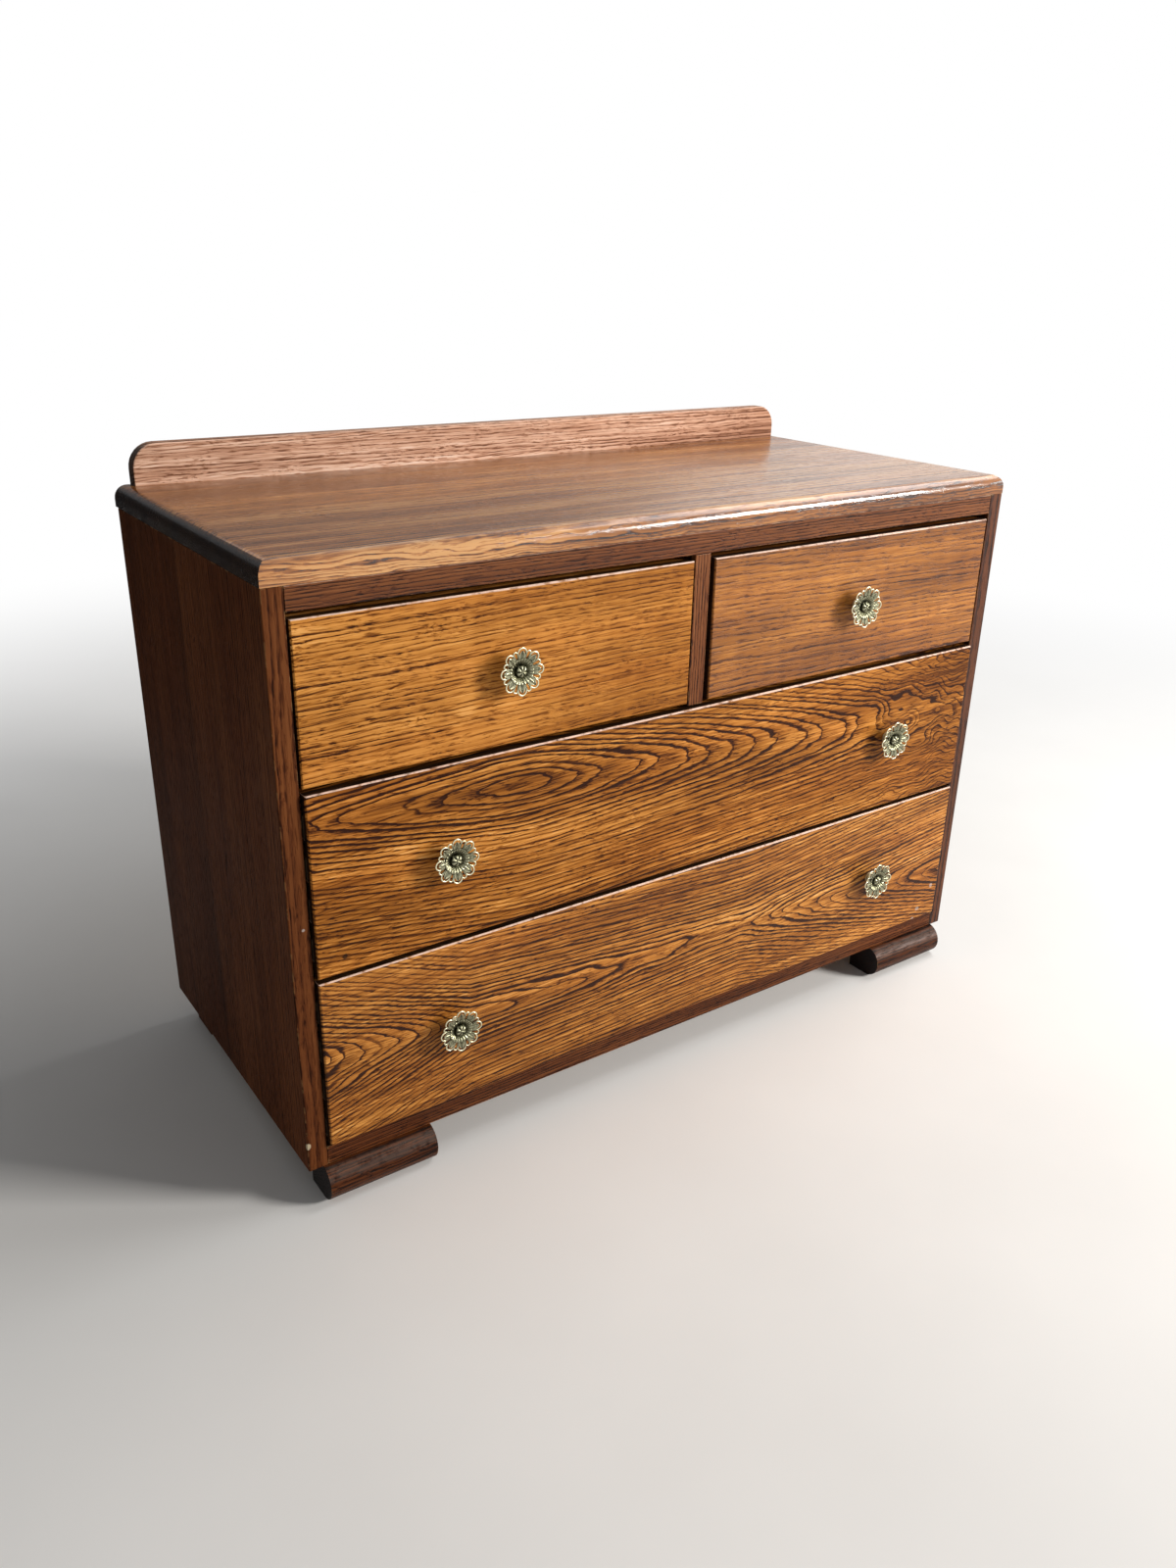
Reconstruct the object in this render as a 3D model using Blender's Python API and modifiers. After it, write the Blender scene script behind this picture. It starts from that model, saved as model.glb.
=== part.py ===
"""Chest of drawers: two small drawers over two long ones, with a bullnosed top, a low back upstand, block
feet and openwork flower knobs.

Case frame: x = 0 is the middle of the width, y = 0 the front plane of the sides with +y to the back, z = 0
the floor. The root empty carries that frame, so that the origin is the middle of the object's foot print.
"""

import math

import bmesh
import bpy
from mathutils import Matrix, Vector

# Fits
FIT = 0.0003  # gap between pieces that touch or are glued
OVERCUT = 0.006  # how far a cutter runs past the wall that it cuts
WELD = 0.000003  # points closer than this are one point
SHARP_ANGLE = math.radians(40)  # edges that turn more than this stay sharp
ARRIS_SEGMENTS = 2

# Case
CASE_WIDTH = 0.914
CASE_DEPTH = 0.393
SIDE_THICKNESS = 0.020
SIDE_ARRIS = 0.0012
TOP_THICKNESS = 0.0215
TOP_NOSE_RADIUS = 0.013
TOP_NOSE_SEGMENTS = 7
TOP_OVERHANG = 0.008  # how far the top runs past the back of the case
UPSTAND_HEIGHT = 0.042  # seen above the top
UPSTAND_HOUSING = 0.004  # how deep the upstand is let into the top
UPSTAND_THICKNESS = 0.0165
UPSTAND_INSET = 0.017
UPSTAND_CORNER_RADIUS = 0.026
UPSTAND_CORNER_SEGMENTS = 8
UPSTAND_ARRIS = 0.002
BACK_THICKNESS = 0.004
REBATE_WIDTH = 0.009

# Rails, divider and runners
TOP_RAIL_HEIGHT = 0.022
BOTTOM_RAIL_HEIGHT = 0.0215
RAIL_THICKNESS = 0.020
RAIL_DEPTH = 0.045
RAIL_ARRIS = 0.001
UPPER_RAIL_SETBACK = 0.019
LOWER_RAIL_SETBACK = 0.015
REAR_RAIL_DEPTH = 0.020
DIVIDER_THICKNESS = 0.020
RUNNER_WIDTH = 0.022
CENTRE_RUNNER_WIDTH = 0.090
GUIDE_HEIGHT = 0.018

# Drawer fronts and the gaps round them
LONG_FRONT_HEIGHT = 0.184
SMALL_FRONT_HEIGHT = 0.1505
FRONT_THICKNESS = 0.020
FRONT_ARRIS = 0.003
FRONT_ARRIS_SEGMENTS = 3
GAP_BOTTOM = 0.0015
GAP_ROWS = 0.0042
GAP_TOP = 0.0055
GAP_SIDE = 0.002
GAP_DIVIDER_LEFT = 0.001
GAP_DIVIDER_RIGHT = 0.0055

# Drawer boxes
LINING_THICKNESS = 0.012
DRAWER_BACK_THICKNESS = 0.012
DRAWER_BOTTOM_THICKNESS = 0.004
HEADROOM = 0.004
LINING_DROP = 0.004
BACK_DROP = 0.008
BACK_INSET = 0.008
REAR_CLEARANCE = 0.010
GROOVE_DEPTH = 0.005
GROOVE_RISE = 0.014
LAP_THICKNESS = 0.007
TAIL_WIDTH = 0.023
PIN_WIDTH = 0.013  # least width of wood between two tails
TAIL_SLOPE = 1 / 6

# Feet
FOOT_HEIGHT = 0.040
FOOT_LENGTH = 0.118
FOOT_DEPTH = 0.048
FOOT_INSET = 0.015
FOOT_PROJECTION = 0.0155
REAR_FOOT_INSET = 0.011
REAR_FOOT_ARRIS = 0.002
FOOT_ARC_STEPS = 14

# Knobs
KNOB_DIAMETER = 0.047
KNOB_SPREAD = 0.297  # from the middle of a long drawer to each of its knobs
KNOB_STANDOFF = 0.0125  # from the front's face to the back of the flower
PETAL_COUNT = 8
HUB_RADIUS = 0.0095
HUB_THICKNESS = 0.0024
HUB_RING_RADIUS = 0.0064
HUB_RING_HEIGHT = 0.0013
DOME_RADIUS = 0.0034
DOME_HEIGHT = 0.0022
DOME_STEPS = 3
HUB_STEPS = 12
LEAF_LENGTH = 0.0085
LEAF_HALF_WIDTH = 0.0017
LEAF_ROOT_HALF_WIDTH = 0.0008
LEAF_THICKNESS = 0.0014
WIRE_RADIUS = 0.0008
LOOP_RADIUS = 0.0044
LOOP_HALF_SWEEP = math.radians(115)
LOOP_ARC_STEPS = 5
LOOP_RISE = 0.002  # how much further forward the rim lies than the roots
LOOP_ROOT_DEPTH = 0.0025
LOOP_ROOT_HALF_WIDTH = 0.0016
SMALL_LOOP_HALF_SWEEP = math.radians(65)
SMALL_LOOP_ARC_STEPS = 3
SMALL_LOOP_EMBED = 0.00026  # how far the ends of a small loop sink into the large loops beside it
STEM_FLANGE_RADIUS = 0.0070
STEM_FLANGE_HEIGHT = 0.0018
STEM_NECK_RADIUS = 0.0034
STEM_COLLAR_RADIUS = 0.0060
STEM_COLLAR_HEIGHT = 0.0016
SPIGOT_RADIUS = 0.0020
SPIGOT_LENGTH = 0.0010
SHANK_RADIUS = 0.0025
SHANK_TAIL = 0.0060
STEM_STEPS = 12

# Levels above the floor, from the feet up
CASE_BOTTOM = FOOT_HEIGHT + FIT
BOTTOM_RAIL_TOP = CASE_BOTTOM + BOTTOM_RAIL_HEIGHT
LOWER_FRONT_BOTTOM = BOTTOM_RAIL_TOP + GAP_BOTTOM
LOWER_FRONT_TOP = LOWER_FRONT_BOTTOM + LONG_FRONT_HEIGHT
UPPER_FRONT_BOTTOM = LOWER_FRONT_TOP + GAP_ROWS
UPPER_FRONT_TOP = UPPER_FRONT_BOTTOM + LONG_FRONT_HEIGHT
SMALL_FRONT_BOTTOM = UPPER_FRONT_TOP + GAP_ROWS
SMALL_FRONT_TOP = SMALL_FRONT_BOTTOM + SMALL_FRONT_HEIGHT
TOP_RAIL_BOTTOM = SMALL_FRONT_TOP + GAP_TOP
CASE_TOP = TOP_RAIL_BOTTOM + TOP_RAIL_HEIGHT
TOP_BOTTOM = CASE_TOP + FIT
TOP_SURFACE = TOP_BOTTOM + TOP_THICKNESS
UPSTAND_BOTTOM = TOP_SURFACE - UPSTAND_HOUSING + FIT
UPSTAND_TOP = TOP_SURFACE + UPSTAND_HEIGHT

# The hidden rails lie behind the gaps between the rows of fronts
LOWER_RAIL_BOTTOM = (LOWER_FRONT_TOP + UPPER_FRONT_BOTTOM - RAIL_THICKNESS) / 2
LOWER_RAIL_TOP = LOWER_RAIL_BOTTOM + RAIL_THICKNESS
UPPER_RAIL_BOTTOM = (UPPER_FRONT_TOP + SMALL_FRONT_BOTTOM - RAIL_THICKNESS) / 2
UPPER_RAIL_TOP = UPPER_RAIL_BOTTOM + RAIL_THICKNESS

# Places across the width and along the depth
HALF_WIDTH = CASE_WIDTH / 2
INNER_HALF = HALF_WIDTH - SIDE_THICKNESS
HALF_DIVIDER = DIVIDER_THICKNESS / 2
TOP_BACK = CASE_DEPTH + TOP_OVERHANG
UPSTAND_HALF = HALF_WIDTH - UPSTAND_INSET
UPSTAND_FRONT = TOP_BACK - UPSTAND_THICKNESS
BACK_FRONT = CASE_DEPTH - BACK_THICKNESS
REAR_RAIL_BACK = BACK_FRONT - FIT
REAR_RAIL_FRONT = REAR_RAIL_BACK - REAR_RAIL_DEPTH
RUNNER_BACK = REAR_RAIL_FRONT - FIT
UPPER_RAIL_BACK = UPPER_RAIL_SETBACK + RAIL_DEPTH
LOWER_RAIL_BACK = LOWER_RAIL_SETBACK + RAIL_DEPTH
SMALL_FRONT_BACK = UPPER_RAIL_SETBACK - FIT
LONG_FRONT_BACK = LOWER_RAIL_SETBACK - FIT
DRAWER_REAR = BACK_FRONT - REAR_CLEARANCE
TAIL_LENGTH = FRONT_THICKNESS - LAP_THICKNESS

# Reach of the whole object, front to back
KNOB_REACH = KNOB_STANDOFF + FIT + HUB_THICKNESS + DOME_HEIGHT
FRONT_REACH = min(LONG_FRONT_BACK - FRONT_THICKNESS - KNOB_REACH, -FOOT_PROJECTION)
MIDDLE_DEPTH = (FRONT_REACH + TOP_BACK) / 2

# Places in a knob flower, from its own middle
HALF_PETAL = math.pi / PETAL_COUNT
KNOB_RIM = KNOB_DIAMETER / 2
WIRE_ROOT = HUB_RADIUS - LOOP_ROOT_DEPTH
LOOP_CENTRE = KNOB_RIM - WIRE_RADIUS - LOOP_RADIUS

# Axes of a flat outline: its own x and y, and its thickness, in the case frame
OUTLINE_IN_YZ = Matrix(((0, 0, 1), (1, 0, 0), (0, 1, 0))).to_4x4()
FACING_FRONT = Matrix.Rotation(math.pi / 2, 4, "X")


def clear_scene():
    for obj in list(bpy.data.objects):
        bpy.data.objects.remove(obj, do_unlink=True)


def new_collection(name):
    collection = bpy.data.collections.new(name)
    bpy.context.scene.collection.children.link(collection)
    return collection


def new_material(name, colour, roughness, metallic=0.0):
    material = bpy.data.materials.new(name)
    material.use_nodes = True
    shader = material.node_tree.nodes["Principled BSDF"]
    shader.inputs["Base Color"].default_value = (*colour, 1.0)
    shader.inputs["Roughness"].default_value = roughness
    shader.inputs["Metallic"].default_value = metallic
    material.diffuse_color = (*colour, 1.0)
    return material


clear_scene()
PARTS = new_collection("dresser")
CUTTERS = new_collection("dresser_cutters")
CASE_WOOD = new_material("case_wood", (0.10, 0.030, 0.012), 0.40)
TOP_WOOD = new_material("top_wood", (0.19, 0.068, 0.026), 0.35)
FRONT_WOOD = new_material("front_wood", (0.36, 0.145, 0.036), 0.40)
LINING_WOOD = new_material("lining_wood", (0.52, 0.34, 0.18), 0.65)
PLYWOOD = new_material("plywood", (0.45, 0.29, 0.16), 0.70)
BRASS = new_material("brass", (0.52, 0.48, 0.30), 0.35, 1.0)


def place(obj, point, parent):
    """Puts an object at a point of the case frame, under its parent."""
    point = Vector(point)
    above = parent
    while above.parent:
        point = point - above.location
        above = above.parent
    obj.parent = parent
    obj.location = point


def new_empty(name, point, parent=None):
    empty = bpy.data.objects.new(name, None)
    empty.empty_display_size = 0.05
    PARTS.objects.link(empty)
    if parent:
        place(empty, point, parent)
    else:
        empty.location = point
    return empty


def new_object(name, mesh, point, parent, material=None):
    """A part of the model or, with no material, a cutter."""
    obj = bpy.data.objects.new(name, mesh)
    if material:
        PARTS.objects.link(obj)
        if not mesh.materials:
            mesh.materials.append(material)
    else:
        CUTTERS.objects.link(obj)
        obj.hide_render = True
        obj.display_type = "WIRE"
    place(obj, point, parent)
    return obj


def box(name, low, high, parent, material=None):
    """A rectangular board between two corners of the case frame, with its origin in its middle."""
    low = Vector(low)
    high = Vector(high)
    size = high - low
    shape = bmesh.new()
    bmesh.ops.create_cube(shape, size=1.0, matrix=Matrix.Diagonal((*size, 1.0)))
    mesh = bpy.data.meshes.new(name)
    shape.to_mesh(mesh)
    shape.free()
    return new_object(name, mesh, (low + high) / 2, parent, material)


def round_edges(obj, radius, segments, chosen):
    """Rounds the edges whose middle, in the board's own axes, the test picks out."""
    shape = bmesh.new()
    shape.from_mesh(obj.data)
    weight = shape.edges.layers.float.new("bevel_weight_edge")
    for edge in shape.edges:
        middle = (edge.verts[0].co + edge.verts[1].co) / 2
        edge[weight] = 1.0 if chosen(middle) else 0.0
    shape.to_mesh(obj.data)
    shape.free()
    bevel = obj.modifiers.new("round_edges", "BEVEL")
    bevel.limit_method = "WEIGHT"
    bevel.width = radius
    bevel.segments = segments
    bevel.use_clamp_overlap = True


def soften_arrises(obj, radius):
    """Takes the sharpness off every arris that is still square."""
    bevel = obj.modifiers.new("soft_arrises", "BEVEL")
    bevel.limit_method = "ANGLE"
    bevel.angle_limit = SHARP_ANGLE
    bevel.width = radius
    bevel.segments = ARRIS_SEGMENTS


def cut(obj, cutter):
    boolean = obj.modifiers.new(cutter.name, "BOOLEAN")
    boolean.operation = "DIFFERENCE"
    boolean.solver = "EXACT"
    boolean.object = cutter


def evaluated_mesh(obj):
    """The mesh of an object after its modifiers, with its seams welded."""
    bpy.context.view_layer.update()
    graph = bpy.context.evaluated_depsgraph_get()
    mesh = bpy.data.meshes.new_from_object(obj.evaluated_get(graph))
    shape = bmesh.new()
    shape.from_mesh(mesh)
    bmesh.ops.remove_doubles(shape, verts=shape.verts, dist=WELD)
    bmesh.ops.recalc_face_normals(shape, faces=shape.faces)
    shape.to_mesh(mesh)
    shape.free()
    return mesh


def outline_mesh(name, outlines, thickness, axes):
    """Flat closed outlines, thickened evenly to both sides and turned into the case frame."""
    curve = bpy.data.curves.new(name, "CURVE")
    curve.dimensions = "2D"
    curve.fill_mode = "BOTH"
    curve.extrude = thickness / 2
    for outline in outlines:
        spline = curve.splines.new("POLY")
        spline.points.add(len(outline) - 1)
        for point, (x, y) in zip(spline.points, outline):
            point.co = (x, y, 0.0, 1.0)
        spline.use_cyclic_u = True
    holder = bpy.data.objects.new(name, curve)
    CUTTERS.objects.link(holder)
    mesh = evaluated_mesh(holder)
    mesh.name = name
    bpy.data.objects.remove(holder, do_unlink=True)
    mesh.transform(axes)
    return mesh


def turned_mesh(name, profile, steps):
    """A profile of (radius, height) points, listed from the top down, turned about its own z axis."""
    shape = bmesh.new()
    points = [shape.verts.new((radius, 0.0, height)) for radius, height in profile]
    for upper, lower in zip(points, points[1:]):
        shape.edges.new((upper, lower))
    mesh = bpy.data.meshes.new(name)
    shape.to_mesh(mesh)
    shape.free()
    holder = bpy.data.objects.new(name, mesh)
    CUTTERS.objects.link(holder)
    screw = holder.modifiers.new("turn", "SCREW")
    screw.axis = "Z"
    screw.steps = steps
    screw.render_steps = steps
    screw.use_merge_vertices = True
    screw.merge_threshold = WELD
    turned = evaluated_mesh(holder)
    turned.name = name
    bpy.data.objects.remove(holder, do_unlink=True)
    return turned


def smooth(mesh):
    mesh.shade_smooth()
    mesh.set_sharp_from_angle(angle=SHARP_ANGLE)


# Case

def make_sides(root):
    for name, hand in (("left", -1), ("right", 1)):
        outer = hand * HALF_WIDTH
        inner = hand * INNER_HALF
        side = box(
            f"side_{name}",
            (min(outer, inner), 0.0, CASE_BOTTOM),
            (max(outer, inner), CASE_DEPTH, CASE_TOP),
            root,
            CASE_WOOD,
        )
        round_edges(side, SIDE_ARRIS, ARRIS_SEGMENTS, lambda middle: middle.y < 0 and abs(middle.z) < FIT)
        groove = hand * (INNER_HALF + REBATE_WIDTH)
        clear = hand * (INNER_HALF - OVERCUT)
        rebate = box(
            f"side_{name}_rebate",
            (min(groove, clear), BACK_FRONT - FIT, CASE_BOTTOM - OVERCUT),
            (max(groove, clear), CASE_DEPTH + OVERCUT, CASE_TOP + OVERCUT),
            root,
        )
        cut(side, rebate)


def make_back(root):
    half = INNER_HALF + REBATE_WIDTH - FIT
    box("back_panel", (-half, BACK_FRONT, CASE_BOTTOM), (half, CASE_DEPTH, CASE_TOP), root, PLYWOOD)


def make_top(root):
    """The top board, nosed at the front and ends, with a stopped housing for the upstand."""
    top = box(
        "top_board",
        (-HALF_WIDTH, 0.0, TOP_BOTTOM),
        (HALF_WIDTH, TOP_BACK, TOP_SURFACE),
        root,
        TOP_WOOD,
    )

    def on_nose(middle):
        return middle.z > FIT and (middle.y < -FIT or abs(middle.x) > FIT)

    round_edges(top, TOP_NOSE_RADIUS, TOP_NOSE_SEGMENTS, on_nose)
    housing = box(
        "top_board_housing",
        (-UPSTAND_HALF - FIT, UPSTAND_FRONT - FIT, TOP_SURFACE - UPSTAND_HOUSING),
        (UPSTAND_HALF + FIT, TOP_BACK + OVERCUT, TOP_SURFACE + OVERCUT),
        root,
    )
    cut(top, housing)


def make_upstand(root):
    """A board on edge with quarter-round upper corners and soft arrises, planed flat below."""
    board = box(
        "back_upstand",
        (-UPSTAND_HALF, UPSTAND_FRONT, UPSTAND_BOTTOM - OVERCUT),
        (UPSTAND_HALF, TOP_BACK, UPSTAND_TOP),
        root,
        TOP_WOOD,
    )

    def on_corner(middle):
        return middle.z > FIT and abs(middle.x) > FIT

    round_edges(board, UPSTAND_CORNER_RADIUS, UPSTAND_CORNER_SEGMENTS, on_corner)
    soften_arrises(board, UPSTAND_ARRIS)
    below = box(
        "back_upstand_underside",
        (-HALF_WIDTH, UPSTAND_FRONT - OVERCUT, UPSTAND_BOTTOM - 2 * OVERCUT),
        (HALF_WIDTH, TOP_BACK + OVERCUT, UPSTAND_BOTTOM),
        root,
    )
    cut(board, below)


def cross_rail(name, front, depth, levels, root):
    """A rail between the sides, with its levels given as (bottom, top)."""
    half = INNER_HALF - FIT
    low, high = levels
    return box(name, (-half, front, low), (half, front + depth, high), root, CASE_WOOD)


def make_rails(root):
    top = (TOP_RAIL_BOTTOM, CASE_TOP)
    upper = (UPPER_RAIL_BOTTOM, UPPER_RAIL_TOP)
    lower = (LOWER_RAIL_BOTTOM, LOWER_RAIL_TOP)
    bottom = (CASE_BOTTOM, BOTTOM_RAIL_TOP)

    def on_front(middle):
        return middle.y < -FIT and abs(middle.x) < FIT

    for name, levels in (("top_front_rail", top), ("bottom_front_rail", bottom)):
        rail = cross_rail(name, 0.0, RAIL_DEPTH, levels, root)
        round_edges(rail, RAIL_ARRIS, ARRIS_SEGMENTS, on_front)
    cross_rail("upper_drawer_rail", UPPER_RAIL_SETBACK, RAIL_DEPTH, upper, root)
    cross_rail("lower_drawer_rail", LOWER_RAIL_SETBACK, RAIL_DEPTH, lower, root)
    for name, levels in (("top_rear_rail", top), ("upper_rear_rail", upper), ("bottom_rear_rail", bottom)):
        cross_rail(name, REAR_RAIL_FRONT, REAR_RAIL_DEPTH, levels, root)


def make_runners(root):
    """Three runners and a kicker on each side, level with the rails in front of them."""
    levels = (
        ("kicker", RAIL_DEPTH, TOP_RAIL_BOTTOM, CASE_TOP),
        ("upper_runner", UPPER_RAIL_BACK, UPPER_RAIL_BOTTOM, UPPER_RAIL_TOP),
        ("middle_runner", LOWER_RAIL_BACK, LOWER_RAIL_BOTTOM, LOWER_RAIL_TOP),
        ("bottom_runner", RAIL_DEPTH, CASE_BOTTOM, BOTTOM_RAIL_TOP),
    )
    outer = INNER_HALF - FIT
    inner = outer - RUNNER_WIDTH
    for name, front, low, high in levels:
        box(f"{name}_left", (-outer, front + FIT, low), (-inner, RUNNER_BACK, high), root, LINING_WOOD)
        box(f"{name}_right", (inner, front + FIT, low), (outer, RUNNER_BACK, high), root, LINING_WOOD)


def make_divider(root):
    """The divider stands on the upper rail; its notched foot hides that rail between the small fronts."""
    divider = box(
        "centre_divider",
        (-HALF_DIVIDER, 0.0, UPPER_FRONT_TOP + GAP_ROWS / 2),
        (HALF_DIVIDER, UPPER_RAIL_BACK, TOP_RAIL_BOTTOM - FIT),
        root,
        CASE_WOOD,
    )
    round_edges(divider, RAIL_ARRIS, ARRIS_SEGMENTS, lambda middle: middle.y < -FIT and abs(middle.z) < FIT)
    notch = box(
        "centre_divider_notch",
        (-HALF_DIVIDER - OVERCUT, UPPER_RAIL_SETBACK - FIT, UPPER_RAIL_BOTTOM - OVERCUT),
        (HALF_DIVIDER + OVERCUT, UPPER_RAIL_BACK + OVERCUT, UPPER_RAIL_TOP + FIT),
        root,
    )
    cut(divider, notch)
    half_runner = CENTRE_RUNNER_WIDTH / 2
    box(
        "centre_runner",
        (-half_runner, UPPER_RAIL_BACK + FIT, UPPER_RAIL_BOTTOM),
        (half_runner, RUNNER_BACK, UPPER_RAIL_TOP),
        root,
        LINING_WOOD,
    )
    guide_bottom = UPPER_RAIL_TOP + FIT
    box(
        "centre_guide",
        (-HALF_DIVIDER, UPPER_RAIL_BACK + FIT, guide_bottom),
        (HALF_DIVIDER, RUNNER_BACK, guide_bottom + GUIDE_HEIGHT),
        root,
        LINING_WOOD,
    )


def foot_outline():
    """Section of a front foot in (y, z): a flat-backed block whose front is a full half round."""
    radius = FOOT_HEIGHT / 2
    centre = radius - FOOT_PROJECTION
    rear = FOOT_DEPTH - FOOT_PROJECTION
    arc = []
    for step in range(FOOT_ARC_STEPS + 1):
        angle = math.pi * (0.5 + step / FOOT_ARC_STEPS)
        arc.append((centre + radius * math.cos(angle), radius + radius * math.sin(angle)))
    return arc + [(rear, 0.0), (rear, FOOT_HEIGHT)]


def make_feet(root):
    outer = HALF_WIDTH - FOOT_INSET
    middle = outer - FOOT_LENGTH / 2
    rear = CASE_DEPTH - REAR_FOOT_INSET
    nosed = outline_mesh("front_foot", [foot_outline()], FOOT_LENGTH, OUTLINE_IN_YZ)
    smooth(nosed)
    for name, hand in (("left", -1), ("right", 1)):
        new_object(f"front_foot_{name}", nosed, (hand * middle, 0.0, 0.0), root, CASE_WOOD)
        near = hand * middle - FOOT_LENGTH / 2
        far = hand * middle + FOOT_LENGTH / 2
        block = box(
            f"rear_foot_{name}", (near, rear - FOOT_DEPTH, 0.0), (far, rear, FOOT_HEIGHT), root, CASE_WOOD
        )
        round_edges(block, REAR_FOOT_ARRIS, ARRIS_SEGMENTS, lambda spot: abs(spot.z) < FIT)


# Drawers

def tail_centres(low, high):
    """Heights of the dovetails, as many as the side's height has room for, spread evenly."""
    tails = int((high - low) / (TAIL_WIDTH + PIN_WIDTH))
    pitch = (high - low) / tails
    return [low + pitch * (count + 0.5) for count in range(tails)]


def lining_outline(shoulder, low, high):
    """A drawer side in (y, z): square at the rear, with dovetails beyond the shoulder at the front."""
    tip = TAIL_WIDTH / 2
    root = tip - TAIL_LENGTH * TAIL_SLOPE
    end = shoulder - TAIL_LENGTH
    outline = [(DRAWER_REAR, low), (DRAWER_REAR, high), (shoulder, high)]
    for centre in reversed(tail_centres(low, high)):
        outline += [(shoulder, centre + root), (end, centre + tip)]
        outline += [(end, centre - tip), (shoulder, centre - root)]
    return outline + [(shoulder, low)]


def socket_outlines(shoulder, low, high):
    """The sockets for those tails, larger all round by the fit and open at the back of the front."""
    tip = TAIL_WIDTH / 2 + FIT
    end = shoulder - TAIL_LENGTH - FIT
    mouth = shoulder + OVERCUT
    root = tip - (mouth - end) * TAIL_SLOPE
    return [
        [(mouth, centre - root), (mouth, centre + root), (end, centre + tip), (end, centre - tip)]
        for centre in tail_centres(low, high)
    ]


class Drawer:
    """Sizes of one drawer in the case frame, all worked out from its front and from what it runs on."""

    def __init__(self, name, left, right, front_back, front_bottom, front_top, runner_top, ceiling, knobs):
        self.name = name
        self.left = left
        self.right = right
        self.front_back = front_back
        self.front_face = front_back - FRONT_THICKNESS
        self.front_bottom = front_bottom
        self.front_top = front_top
        self.low = runner_top + FIT
        self.high = min(ceiling - HEADROOM, front_top - LINING_DROP)
        self.shoulder = front_back + FIT
        self.inner_left = left + LINING_THICKNESS
        self.inner_right = right - LINING_THICKNESS
        self.panel_low = self.low + GROOVE_RISE
        self.panel_high = self.panel_low + DRAWER_BOTTOM_THICKNESS
        self.back_rear = DRAWER_REAR - BACK_INSET
        self.back_front = self.back_rear - DRAWER_BACK_THICKNESS
        self.knob_height = (front_bottom + front_top) / 2
        self.knobs = knobs


def all_drawers():
    side = INNER_HALF - GAP_SIDE
    left_inner = -HALF_DIVIDER - GAP_DIVIDER_LEFT
    right_inner = HALF_DIVIDER + GAP_DIVIDER_RIGHT
    small = (SMALL_FRONT_BACK, SMALL_FRONT_BOTTOM, SMALL_FRONT_TOP, UPPER_RAIL_TOP, TOP_RAIL_BOTTOM)
    upper = (LONG_FRONT_BACK, UPPER_FRONT_BOTTOM, UPPER_FRONT_TOP, LOWER_RAIL_TOP, UPPER_RAIL_BOTTOM)
    lower = (LONG_FRONT_BACK, LOWER_FRONT_BOTTOM, LOWER_FRONT_TOP, BOTTOM_RAIL_TOP, LOWER_RAIL_BOTTOM)
    pair = (("left", -KNOB_SPREAD), ("right", KNOB_SPREAD))
    return (
        Drawer("small_left", -side, left_inner, *small, (("middle", (left_inner - side) / 2),)),
        Drawer("small_right", right_inner, side, *small, (("middle", (right_inner + side) / 2),)),
        Drawer("long_upper", -side, side, *upper, pair),
        Drawer("long_lower", -side, side, *lower, pair),
    )


def panel_cutter(drawer, parent):
    """The groove that takes the drawer bottom: in both sides, open at the rear, and in the front."""
    return box(
        f"{drawer.name}_panel_groove",
        (drawer.inner_left - GROOVE_DEPTH, drawer.front_back - GROOVE_DEPTH, drawer.panel_low - FIT),
        (drawer.inner_right + GROOVE_DEPTH, DRAWER_REAR + OVERCUT, drawer.panel_high + FIT),
        parent,
    )


def back_cutter(drawer, parent):
    """The housings in both sides that take the drawer back, open at the top."""
    return box(
        f"{drawer.name}_back_housing",
        (drawer.inner_left - GROOVE_DEPTH, drawer.back_front - FIT, drawer.panel_high),
        (drawer.inner_right + GROOVE_DEPTH, drawer.back_rear + FIT, drawer.high + OVERCUT),
        parent,
    )


def make_front(drawer, parent, groove):
    front = box(
        f"{drawer.name}_front",
        (drawer.left, drawer.front_face, drawer.front_bottom),
        (drawer.right, drawer.front_back, drawer.front_top),
        parent,
        FRONT_WOOD,
    )
    round_edges(front, FRONT_ARRIS, FRONT_ARRIS_SEGMENTS, lambda middle: middle.y < -FIT)
    cut(front, groove)
    outlines = socket_outlines(drawer.shoulder, drawer.low, drawer.high)
    width = LINING_THICKNESS + FIT + OVERCUT
    for end, middle in (
        ("left", drawer.inner_left + FIT - width / 2),
        ("right", drawer.inner_right - FIT + width / 2),
    ):
        mesh = outline_mesh(f"{drawer.name}_sockets_{end}", outlines, width, OUTLINE_IN_YZ)
        cut(front, new_object(mesh.name, mesh, (middle, 0.0, 0.0), parent))
    return front


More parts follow.
